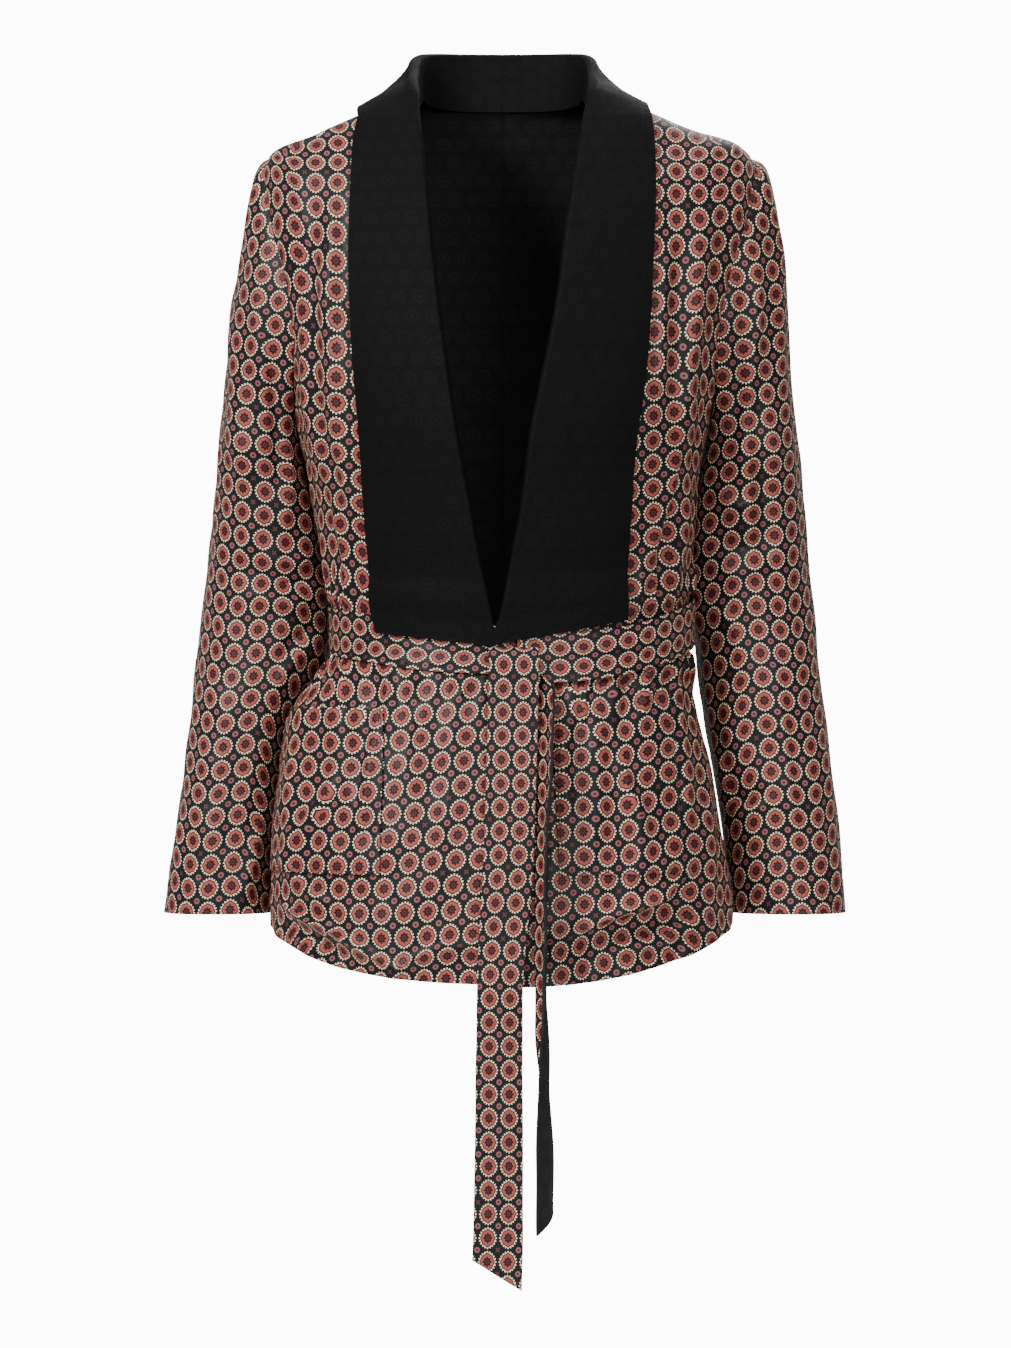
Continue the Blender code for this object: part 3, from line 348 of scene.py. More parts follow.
def blur(values: Array, axis: int, rounds: int) -> Array:
    """Soften values along one axis.

    Args:
        values: Rows by columns.
        axis: The axis to soften along.
        rounds: How often.

    Returns:
        The softer values.
    """
    values = np.moveaxis(values, axis, 0).copy()
    for _ in range(rounds):
        values[1:-1] = (2 * values[1:-1] + values[2:] + values[:-2]) / 4
    return np.moveaxis(values, 0, axis)


def take_up(uv: Array, base: Array, grid: Array, start: int = 0) -> Array:
    """Let the cloth places follow the extra cloth that creases take up.

    Args:
        uv: Cloth places of the plain form.
        base: Points of the plain form.
        grid: Points with their creases.
        start: Column whose places across stay as they are.

    Returns:
        The cloth places along the creased cloth.
    """
    extra = []
    for axis in (0, 1):
        creased, plain = (np.linalg.norm(np.diff(p, axis=axis), axis=-1) for p in (grid, base))
        run = np.insert(np.cumsum(np.maximum(creased - plain, 0), axis=axis), 0, 0.0, axis=axis)
        extra.append(blur(run, 1 - axis, 24))
    along, across = extra
    across -= across[:, start:start + 1]
    way = np.sign(uv[:, -1:, 0] - uv[:, :1, 0])
    return uv + np.stack([across * way, -along], -1)


def waviness(across: Array, along: Array, seed: int, lengths: Sequence[float]) -> Array:
    """Gentle unevenness of cloth, from -1 to 1.

    Args:
        across: Places across the cloth.
        along: Places along the cloth.
        seed: Fixed seed of the waves' directions and phases.
        lengths: Wave lengths, the longest first.

    Returns:
        The mean of the waves at each place.
    """
    rng = np.random.default_rng(seed)
    total = np.zeros_like(across)
    for length in lengths:
        turn, phase = rng.uniform(0, math.pi), rng.uniform(0, 2 * math.pi)
        total += np.sin(2 * math.pi / length * (across * math.cos(turn) + along * math.sin(turn)) + phase)
    return total / len(lengths)


@dataclass(frozen=True)
class Crease:
    """A soft ridge or trough along a given path, in millimetres across and up the piece.

    A height below 0 is a trough. A lean above 0 makes the right of the path the wider side.
    """

    path: tuple[tuple[float, float], ...]
    width: float
    height: float
    lean: float = 0.0
    face: Face = Face.FRONT

    def rise(self, across: Array, up: Array) -> Array:
        """Height of the crease at places of the piece.

        Args:
            across: Places across the piece.
            up: Places up the piece.

        Returns:
            The rise at each place, negative in a trough.
        """
        path = np.array(self.path, float) * MM
        knots = np.linspace(0, 1, len(path))
        fine = np.linspace(0, 1, 4 * len(path))
        path = np.stack([spline(knots, path[:, k])(fine) for k in (0, 1)], -1)
        steps = np.diff(path, axis=0)
        lengths = np.hypot(*steps.T)
        start = np.concatenate([[0], np.cumsum(lengths)])
        gap, at, hand = np.full(across.shape, np.inf), np.zeros(across.shape), np.zeros(across.shape)
        for k, length in enumerate(lengths):
            rx, ry = across - path[k, 0], up - path[k, 1]
            t = np.clip((rx * steps[k, 0] + ry * steps[k, 1]) / length ** 2, 0, 1)
            far = np.hypot(rx - t * steps[k, 0], ry - t * steps[k, 1])
            near = far < gap
            at = np.where(near, (start[k] + t * length) / start[-1], at)
            hand = np.where(near, np.sign(rx * steps[k, 1] - ry * steps[k, 0]), hand)
            gap = np.minimum(gap, far)
        wide = self.width * MM * (1 + self.lean * hand)
        taper = (0.15 + 0.85 * ease(at / 0.35)) * (0.15 + 0.85 * ease((1 - at) / 0.35))
        return self.height * MM * np.exp(-(gap / wide) ** 2) * taper


def folds(*rows: Sequence[object], face: Face = Face.FRONT) -> tuple[Crease, ...]:
    """Creases from rows of width, height, lean and the points of the path, in millimetres."""
    return tuple(Crease(tuple(path), width, height, lean, face) for width, height, lean, *path in rows)


def creases_at(creases: Sequence[Crease], across: Array, up: Array) -> Array:
    """Sum of the creases at places of a piece.

    Args:
        creases: The creases.
        across: Places across.
        up: Places up.

    Returns:
        The rise at each place.
    """
    total = np.zeros_like(across)
    for crease in creases:
        total += crease.rise(across, up)
    return total


@dataclass
class BodyForm:
    """The outside of the garment's body as sections, with its cloth lengths round each section."""

    flat_above: float = -0.100
    belt_half: float = 0.0195
    belt_edge: float = 0.0215
    overlap: float = 0.0022
    tops: list[Callable[[Array], Array]] = field(default_factory=lambda: columns(SECTIONS))
    lapels: list[Callable[[Array], Array]] = field(default_factory=lambda: columns(LAPELS))
    belt_middle: Callable[[Array], Array] = field(default_factory=lambda: columns(BELT_LINE)[0])

    def __post_init__(self) -> None:
        """Measure the cloth's length round the sections once."""
        self.table_z = np.linspace(SECTIONS[-1][0], SECTIONS[0][0], 260)
        self.table_t = np.linspace(0, math.pi, 361)
        self.arcs = {sign: run_along(self.point(sign * self.table_t, self.table_z[:, None]), 1)
                     for sign in (-1, 1)}

    def point(self, theta: Array, z: Array) -> Array:
        """Point of the outside at an angle (0 front, + to the left) and a height.

        Args:
            theta: Angles.
            z: Heights.

        Returns:
            The points.
        """
        theta, z = np.broadcast_arrays(np.asarray(theta, float), np.asarray(z, float))
        s, c = np.sin(theta), np.cos(theta)
        right, left, front, back = self.tops
        wide, deep = np.where(s >= 0, left(z), right(z)), np.where(c >= 0, front(z), back(z))
        x = np.sign(s) * wide * np.abs(s) ** ROUNDNESS
        y = -np.sign(c) * deep * np.abs(c) ** ROUNDNESS
        return np.stack([x, y, z], -1)

    def normal(self, theta: Array, z: Array) -> Array:
        """Outward normal of the outside.

        Args:
            theta: Angles.
            z: Heights.

        Returns:
            Directions of length 1.
        """
        e, h, top = 0.012, 0.0015, SECTIONS[0][0]
        across = self.point(theta + e, z) - self.point(theta - e, z)
        up = self.point(theta, np.minimum(z + h, top)) - self.point(theta, np.minimum(z - h, top))
        return unit(np.cross(across, up))

    def off(self, theta: Array, z: Array, distance: Array) -> Array:
        """Point that stands a distance off the outside, or inside it below 0."""
        return self.point(theta, z) + self.normal(theta, z) * distance

    def angle_at(self, x: Array, z: Array) -> Array:
        """Angle at which the front of the section at height z reaches sideways to x."""
        wide = np.where(np.asarray(x) >= 0, self.tops[1](z), self.tops[0](z))
        return np.sign(x) * np.arcsin(np.clip(np.abs(x) / wide, 0, 1) ** (1 / ROUNDNESS))

    def roll(self, hand: Hand, z: Array) -> Array:
        """Distance of the collar's roll line from the middle."""
        return self.lapels[hand.pick(0, 2)](z)

    def collar_edge(self, hand: Hand, z: Array) -> Array:
        """Distance of the collar's outer edge from the middle."""
        return self.lapels[hand.pick(1, 3)](z)

    def arc(self, theta: Array, z: Array) -> Array:
        """Cloth length round the section from the front middle to an angle.

        Args:
            theta: Angles.
            z: Heights.

        Returns:
            Lengths, below 0 on the right.
        """
        foot, top = self.table_z[[0, -1]]
        fz = (np.clip(z, foot, top) - foot) / (self.table_z[1] - foot)
        ft = np.clip(np.abs(theta), 0, math.pi) / self.table_t[1]
        i = np.clip(fz.astype(int), 0, len(self.table_z) - 2)
        j = np.clip(ft.astype(int), 0, len(self.table_t) - 2)
        a, b = fz - i, ft - j
        out = np.zeros_like(fz)
        for sign in (-1, 1):
            t = self.arcs[sign]
            value = ((1 - a) * ((1 - b) * t[i, j] + b * t[i, j + 1])
                     + a * ((1 - b) * t[i + 1, j] + b * t[i + 1, j + 1]))
            out = np.where(np.sign(theta + 1e-12) == sign, sign * value, out)
        return out

    def level(self, p: Array) -> Array:
        """Below 0 inside the outside, above 0 outside it.

        Args:
            p: Points.

        Returns:
            0 on the outside itself.
        """
        z = np.clip(p[..., 2], SECTIONS[-1][0], SECTIONS[0][0])
        right, left, front, back = self.tops
        wide = np.where(p[..., 0] >= 0, left(z), right(z))
        deep = np.where(p[..., 1] <= 0, front(z), back(z))
        q = (np.abs(p[..., 0]) / wide) ** (2 / ROUNDNESS) + (np.abs(p[..., 1]) / deep) ** (2 / ROUNDNESS)
        return q ** (ROUNDNESS / 2) - 1 + np.maximum(p[..., 2] - SECTIONS[0][0], 0) * 12

    def height_at(self, x: float, y: float) -> float:
        """Height of the outside over a place on the shoulders.

        Args:
            x: Sideways place.
            y: Depth.

        Returns:
            The height there.
        """
        low, high = -0.15, SECTIONS[0][0]
        for _ in range(30):
            mid = (low + high) / 2
            if self.level(np.array([x, y, mid])) > 0:
                high = mid
            else:
                low = mid
        return (low + high) / 2

    def keep_off(self, point: Array, gap: Array, rounds: int = 6) -> Array:
        """Move points outwards until they stand the given gap off the outside.

        Args:
            point: Points to move.
            gap: Least distance for each point.
            rounds: How often the distance is measured again.

        Returns:
            The moved points.
        """
        point = point.copy()
        for _ in range(rounds):
            f = self.level(point)
            grad = np.empty_like(point)
            for k in range(3):
                step = np.zeros(3)
                step[k] = 2e-4
                grad[..., k] = (self.level(point + step) - self.level(point - step)) / 4e-4
            size = np.maximum(np.linalg.norm(grad, axis=-1), 1e-6)
            need = np.clip(gap - f / size, 0, 0.01)
            point += grad / size[..., None] * need[..., None]
        return point

    def belt_distance(self, point: Array) -> Array:
        """Height of points above the belt's middle line."""
        angle = np.degrees(np.arctan2(point[..., 0], -point[..., 1]))
        return point[..., 2] - self.belt_middle(angle)

    def lap(self, theta: Array, z: Array) -> Array:
        """How far the right front stands out where it lies over the left one."""
        share = 1 - ease((-np.degrees(theta) - 20) / 35)
        return self.overlap * share * ease((-0.33 - z) / 0.08)

    def shoulder_lift(self, p: Array) -> Array:
        """How far the cloth at the shoulder's end stands above the plain form."""
        return 0.0068 * ease((np.abs(p[..., 0]) - 0.150) / 0.042) * ease((p[..., 2] + 0.090) / 0.048)

    def hem_height(self, theta: Array) -> Array:
        """Height of the hem by angle."""
        c = np.cos(theta)
        front = np.where(np.sin(theta) < 0, 0.0435 * np.abs(c), 0.046 * np.abs(c) ** 1.45)
        return np.where(c >= 0, -0.6540 - front, -0.6540 - 0.018 * np.abs(c))


class Graph:
    """A material's node tree, built from its last shader backwards."""

    def __init__(self, name: str) -> None:
        """Start an empty tree with an output and a Principled shader.

        Args:
            name: Name of the material.
        """
        self.material = bpy.data.materials.new(name)
        self.material.use_nodes = True
        self.tree = self.material.node_tree
        self.shader = self.tree.nodes["Principled BSDF"]

    def node(self, kind: str, **settings: object) -> bpy.types.Node:
        """Add a node and set its properties.

        Args:
            kind: Blender's name for the node.
            **settings: Its properties.

        Returns:
            The node.
        """
        made = self.tree.nodes.new(kind)
        for name, value in settings.items():
            setattr(made, name, value)
        return made

    def feed(self, socket: bpy.types.NodeSocket, value: object) -> None:
        """Link another socket to an input, or set its own value.

        Args:
            socket: The input.
            value: A socket or a plain value.
        """
        if isinstance(value, bpy.types.NodeSocket):
            self.tree.links.new(value, socket)
        else:
            socket.default_value = value

    def shade(self, name: str, value: object) -> None:
        """Feed an input of the shader by its name."""
        self.feed(self.shader.inputs[name], value)

    def math(self, operation: str, a: Socket, b: Socket = 0.0) -> Socket:
        """Add a Math node and give its result.

        Args:
            operation: Blender's name for the sum.
            a: First value.
            b: Second value.

        Returns:
            The result.
        """
        made = self.node("ShaderNodeMath", operation=operation)
        for socket, value in zip(made.inputs, (a, b)):
            self.feed(socket, value)
        return made.outputs[0]

    def times(self, a: Socket, b: Socket) -> Socket:
        """Product of two values."""
        return self.math("MULTIPLY", a, b)

    def plus(self, a: Socket, b: Socket) -> Socket:
        """Sum of two values."""
        return self.math("ADD", a, b)

    def minus(self, a: Socket, b: Socket) -> Socket:
        """The first value less the second."""
        return self.math("SUBTRACT", a, b)

    def far(self, x: Socket, y: Socket) -> Socket:
        """Distance of a place from the middle."""
        return self.math("SQRT", self.plus(self.times(x, x), self.times(y, y)))

    def step(self, value: Socket, edge: float, soft: float) -> Socket:
        """Go from 1 below an edge to 0 above it, over a soft width.

        Args:
            value: What is compared.
            edge: Where it changes.
            soft: Width of the change.

        Returns:
            A share from 0 to 1.
        """
        made = self.node("ShaderNodeMapRange")
        for name, given in (("Value", value), ("From Min", edge - soft / 2), ("From Max", edge + soft / 2),
                            ("To Min", 1.0), ("To Max", 0.0)):
            self.feed(made.inputs[name], given)
        return made.outputs[0]

    def mix(self, factor: Socket, low: object, high: object) -> Socket:
        """Blend two colours by a factor.

        Args:
            factor: Share of the second colour.
            low: First colour.
            high: Second colour.

        Returns:
            The blend.
        """
        made = self.node("ShaderNodeMix", data_type="RGBA")
        self.feed(made.inputs[0], factor)
        for socket, value in ((made.inputs[6], low), (made.inputs[7], high)):
            self.feed(socket, (*value, 1.0) if isinstance(value, tuple) else value)
        return made.outputs[2]

    def cloth_place(self) -> tuple[Socket, Socket]:
        """Places across and along the cloth, in millimetres."""
        uv = self.node("ShaderNodeUVMap", uv_map=UV_NAME)
        parts = self.node("ShaderNodeSeparateXYZ")
        self.feed(parts.inputs[0], uv.outputs[0])
        return tuple(self.times(part, 1000.0) for part in parts.outputs[:2])

    def pair(self, across: Socket, along: Socket) -> Socket:
        """Two places as one vector."""
        place = self.node("ShaderNodeCombineXYZ")
        self.feed(place.inputs[0], across)
        self.feed(place.inputs[1], along)
        return place.outputs[0]

    def noise(self, across: Socket, along: Socket, size_mm: float, detail: float = 3.0) -> Socket:
        """Soft noise on the cloth with figures of about the given size.

        Args:
            across: Place across in mm.
            along: Place along in mm.
            size_mm: Size of a figure.
            detail: Finer layers.

        Returns:
            A value round 0.5.
        """
        made = self.node("ShaderNodeTexNoise", noise_dimensions="2D")
        self.feed(made.inputs["Vector"], self.pair(across, along))
        made.inputs["Scale"].default_value = 1.0 / size_mm
        made.inputs["Detail"].default_value = detail
        return made.outputs[0]

    def bump(self, height: Socket, distance: float, strength: float) -> None:
        """Give the shader a bump from a height.

        Args:
            height: The height.
            distance: Metres for a height of 1.
            strength: Share that shows.
        """
        made = self.node("ShaderNodeBump")
        made.inputs["Strength"].default_value = strength
        made.inputs["Distance"].default_value = distance
        self.feed(made.inputs["Height"], height)
        self.shade("Normal", made.outputs[0])


@dataclass(frozen=True)
class PrintedSatin:
    """Dark satin printed with rows of beaded medallions and small rings between them."""

    pitch: tuple[float, float] = (18.4, 19.4)
    medallion: tuple[float, float] = (8.2, 8.9)
    corner: float = 1.74
    teeth: int = 20
    dot: float = 2.45
    cross_share: float = 0.13
    ground: Colour = (0.0074, 0.0068, 0.0073)
    cream: Colour = (0.93, 0.74, 0.53)
    coral: Colour = (0.29, 0.073, 0.056)
    russet: Colour = (0.038, 0.0060, 0.0055)
    wine: Colour = (0.030, 0.0028, 0.0045)
    mauve: Colour = (0.060, 0.026, 0.029)
    rose: Colour = (0.22, 0.080, 0.085)

    def cell(self, g: Graph, place: Socket, pitch: float, shift: float) -> Socket:
        """Place inside a repeat, from its middle, in millimetres."""
        share = g.math("FRACT", g.plus(g.math("DIVIDE", place, pitch), shift))
        return g.times(g.minus(share, 0.5), pitch)

    def rounded(self, g: Graph, x: Socket, y: Socket, power: float) -> Socket:
        """Distance from the middle in a shape between a diamond and an oval."""
        px = g.math("POWER", g.math("ABSOLUTE", x), power)
        py = g.math("POWER", g.math("ABSOLUTE", y), power)
        return g.math("POWER", g.plus(px, py), 1.0 / power)

    def material(self) -> bpy.types.Material:
        """Build the material."""
        g = Graph("printed_satin")
        u, v = g.cloth_place()
        x = g.math("DIVIDE", self.cell(g, u, self.pitch[0], 0.5), self.medallion[0])
        y = g.math("DIVIDE", self.cell(g, v, self.pitch[1], 0.5), self.medallion[1])
        ring = self.rounded(g, x, y, self.corner)
        turn = g.math("ARCTAN2", y, x)
        cloudy = g.noise(u, v, 45.0, 2.0)
        colour = g.mix(cloudy, tuple(c * 0.82 for c in self.ground), tuple(c * 1.2 for c in self.ground))
        colour = self.between(g, u, v, colour)
        tooth = g.math("GREATER_THAN", g.math("COSINE", g.times(turn, float(self.teeth))), 0.25)
        colour = g.mix(g.times(tooth, g.step(ring, 0.995, 0.03)), colour, self.cream)
        eight = g.math("COSINE", g.times(turn, 8.0))
        octagon = g.times(ring, g.minus(1.0, g.times(eight, 0.028)))
        flower = g.minus(ring, g.times(eight, 0.075))
        for field_, edge, tone in ((ring, 0.865, self.cream), (octagon, 0.825, self.russet),
                                   (octagon, 0.715, self.coral), (flower, 0.435, self.wine)):
            colour = g.mix(g.step(field_, edge, 0.03), colour, tone)
        heart = self.rounded(g, x, y, 1.4)
        heart = g.minus(g.step(heart, 0.23, 0.05), g.step(heart, 0.10, 0.05))
        colour = g.mix(heart, colour, self.mauve)
        g.shade("Base Color", colour)
        fine = g.noise(u, v, 0.9, 2.0)
        crumple = g.noise(u, v, 11.0, 3.0)
        g.shade("Roughness", g.plus(0.38, g.times(g.plus(fine, cloudy), 0.09)))
        g.shade("Specular IOR Level", 0.17)
        g.bump(g.plus(g.times(fine, 0.12), crumple), 0.0012, 0.6)
        return g.material

    def between(self, g: Graph, u: Socket, v: Socket, colour: Socket) -> Socket:
        """Print the small ring, or now and then a four-petal cross, between four medallions.

        Args:
            g: The material's tree.
            u: Place across in mm.
            v: Place along in mm.
            colour: Colour so far.

        Returns:
            The colour with its small figures.
        """
        x, y = self.cell(g, u, self.pitch[0], 0.0), self.cell(g, v, self.pitch[1], 0.0)
        far = g.far(x, y)
        cell_u = g.math("FLOOR", g.math("DIVIDE", u, self.pitch[0]))
        cell_v = g.math("FLOOR", g.math("DIVIDE", v, self.pitch[1]))
        chance = g.node("ShaderNodeTexWhiteNoise", noise_dimensions="2D")
        g.feed(chance.inputs["Vector"], g.pair(cell_u, cell_v))
        crossed = g.math("LESS_THAN", chance.outputs["Value"], self.cross_share)
        plain = g.minus(1.0, crossed)
        colour = g.mix(g.times(plain, g.step(far, self.dot, 0.5)), colour, self.rose)
        colour = g.mix(g.times(plain, g.step(far, self.dot * 0.36, 0.4)), colour, self.russet)
        turn = g.math("ARCTAN2", y, x)
        leaf = g.math("ABSOLUTE", g.math("SINE", g.times(turn, 2.0)))
        leaves = g.minus(far, g.times(leaf, self.dot * 0.9))
        return g.mix(g.times(crossed, g.step(leaves, 0.15, 0.5)), colour,
                     tuple(c * 0.42 for c in self.rose))


@dataclass(frozen=True)
class BlackJacquard:
    """Black cloth with round figures that show only as a change of sheen."""

    name: str = "black_jacquard"
    pitch: float = 16.5
    figure: float = 5.6
    tone: Colour = (0.0030, 0.0030, 0.0033)
    raised: Colour = (0.0040, 0.0040, 0.0044)
    roughness: float = 0.68

    def material(self) -> bpy.types.Material:
        """Build the material."""
        g = Graph(self.name)
        u, v = g.cloth_place()
        row = g.math("FLOOR", g.math("DIVIDE", v, self.pitch))
        shifted = g.plus(u, g.times(g.math("MODULO", row, 2.0), self.pitch / 2))
        x = g.minus(g.math("FRACT", g.math("DIVIDE", shifted, self.pitch)), 0.5)
        y = g.minus(g.math("FRACT", g.math("DIVIDE", v, self.pitch)), 0.5)
        far = g.times(g.far(x, y), self.pitch)
        rim = g.minus(g.step(far, self.figure, 0.8), g.step(far, self.figure * 0.68, 0.8))
        shape = g.plus(rim, g.step(far, self.figure * 0.36, 0.8))
        cloudy = g.noise(u, v, 30.0, 2.0)
        figure = g.times(shape, g.plus(0.35, g.times(cloudy, 0.9)))
        g.shade("Base Color", g.mix(figure, self.tone, self.raised))
        twill = g.math("SINE", g.times(g.plus(u, v), 2 * math.pi / 0.7))
        g.shade("Roughness", g.minus(self.roughness, g.times(figure, 0.07)))
        g.shade("Specular IOR Level", 0.07)
        uneven = g.plus(g.times(twill, 0.10), g.times(g.noise(u, v, 14.0), 1.4))
        g.bump(g.plus(uneven, g.times(figure, 0.12)), 0.0006, 0.5)
        return g.material


@dataclass(frozen=True)
class SewingThread:
    """Dark sewing thread, twisted along each stitch, its twist shown as bands of painted highlight."""

    tone: Colour = (0.016, 0.014, 0.015)

    def material(self) -> bpy.types.Material:
        """Build the material."""
        g = Graph("sewing_thread")
        place = g.node("ShaderNodeTexCoord")
        wave = g.node("ShaderNodeTexWave")
        g.feed(wave.inputs["Vector"], place.outputs["Object"])
        wave.inputs["Scale"].default_value = 900.0
        # The lighter bands are a painted highlight on the thread's twist.
        lit = tuple(c * 1.7 for c in self.tone)
        g.shade("Base Color", g.mix(wave.outputs["Fac"], self.tone, lit))
        g.shade("Roughness", 0.5)
        return g.material


@dataclass(frozen=True)
class PaleFloor:
    """A plain pale floor."""

    tone: Colour = (0.90, 0.90, 0.895)

    def material(self) -> bpy.types.Material:
        """Build the material."""
        g = Graph("pale_floor")
        place = g.node("ShaderNodeTexCoord")
        noise = g.node("ShaderNodeTexNoise")
        g.feed(noise.inputs["Vector"], place.outputs["Object"])
        noise.inputs["Scale"].default_value = 3.0
        darker = tuple(c * 0.985 for c in self.tone)
        g.shade("Base Color", g.mix(noise.outputs[0], self.tone, darker))
        g.shade("Roughness", 0.7)
        return g.material


@dataclass
class Workroom:
    """The finishes, and the making of a walled cloth piece from a grid of its outside points."""

    form: BodyForm
    satin: bpy.types.Material
    jacquard: bpy.types.Material
    lining: bpy.types.Material
    # Black lining with painted light lifted into its tone; also the inside finish of the printed satin.
    thread: bpy.types.Material

    def finishes(self, slot: str) -> tuple[bpy.types.Material, bpy.types.Material]:
        """Outer and inner finish of the cloth that has this material slot."""
        return {"printed_satin": (self.satin, self.lining), "black_jacquard": (self.jacquard, self.jacquard),
                "black_lining": (self.lining, self.lining)}[slot]

    def cloth(self, node: str, slot: str, grid: Array, uv: Array, wall: float, outward: Array,
              rests_on: Sequence[str], shift: Sequence[float] = (0.0, 0.0), cut: Optional[Array] = None,
              centred: bool = False, ring: bool = False, faced: bool = False,
              stitch_line: Optional[Array] = None) -> None:
        """Make a walled piece that stands for its solid, which it hides.

        Args:
            node: The solid that it stands for.
            slot: Material slot of the record, which also gives the finishes.
            grid: Outside points, rows by columns by 3.
            uv: Cloth places in metres; a ring has one more column than its points.
            wall: Thickness of the cloth.
            outward: Directions that the outside faces, one for each point.
            rests_on: What the piece is sewn to or lies on; not used.
            shift: How far its print is moved.
            cut: Cloth places that give the cut, where they aren't the print's; not used.
            centred: Whether the points lie in the middle of the wall.
            ring: Whether the last column joins the first.
            faced: Whether the inside has the outer finish too.
            stitch_line: Line on which it is sewn down.
        """
        rows, cols = grid.shape[:2]
        j, i = np.meshgrid(np.arange(rows - 1), np.arange(cols if ring else cols - 1), indexing="ij")
        nxt = (i + 1) % cols
        quads = np.stack([j * cols + i, j * cols + nxt, (j + 1) * cols + nxt, (j + 1) * cols + i], -1)
        quads = quads.reshape(-1, 4)
        printed = uv + np.asarray(shift)
        places = np.stack([printed[j, i], printed[j, i + 1], printed[j + 1, i + 1], printed[j + 1, i]], -2)
        places = places.reshape(-1, 4, 2)
        p = grid.reshape(-1, 3)
        facing = np.cross(p[quads[:, 2]] - p[quads[:, 0]], p[quads[:, 3]] - p[quads[:, 1]])
        if np.sum(facing * outward.reshape(-1, 3)[quads[:, 0]]) < 0:
            quads, places = quads[:, ::-1], places[:, ::-1]
        mesh = bpy.data.meshes.new(node + "_cloth")
        mesh.from_pydata(p.tolist(), [], quads.tolist())
        layer = mesh.uv_layers.new(name=UV_NAME)
        layer.data.foreach_set("uv", places.reshape(-1).astype(np.float32))
        outer, inner = self.finishes(slot)
        mesh.materials.append(outer)
        mesh.materials.append(outer if faced else inner)
        obj = in_scene(node + "_cloth", mesh)
        shell = obj.modifiers.new("wall", "SOLIDIFY")
        shell.thickness = wall
        shell.offset = 0.0 if centred else -1.0
        shell.use_even_offset = False
        shell.material_offset = 1
        shell.material_offset_rim = 1
        self.settle(obj)
        threads = [] if stitch_line is None else [EdgeStitching(self).along(node + "_stitches", stitch_line)]
        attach(obj, "root")
        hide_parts(node)

    def settle(self, obj: bpy.types.Object) -> None:
        """Turn an object's evaluated shape into its plain mesh, smooth but for its sharp edges.

        Args:
            obj: The object.
        """
        evaluated = obj.evaluated_get(bpy.context.evaluated_depsgraph_get())
        mesh = bpy.data.meshes.new_from_object(evaluated)
        obj.modifiers.clear()
        obj.data = mesh
        mesh.shade_smooth()
        mesh.set_sharp_from_angle(angle=SHARP_ANGLE)


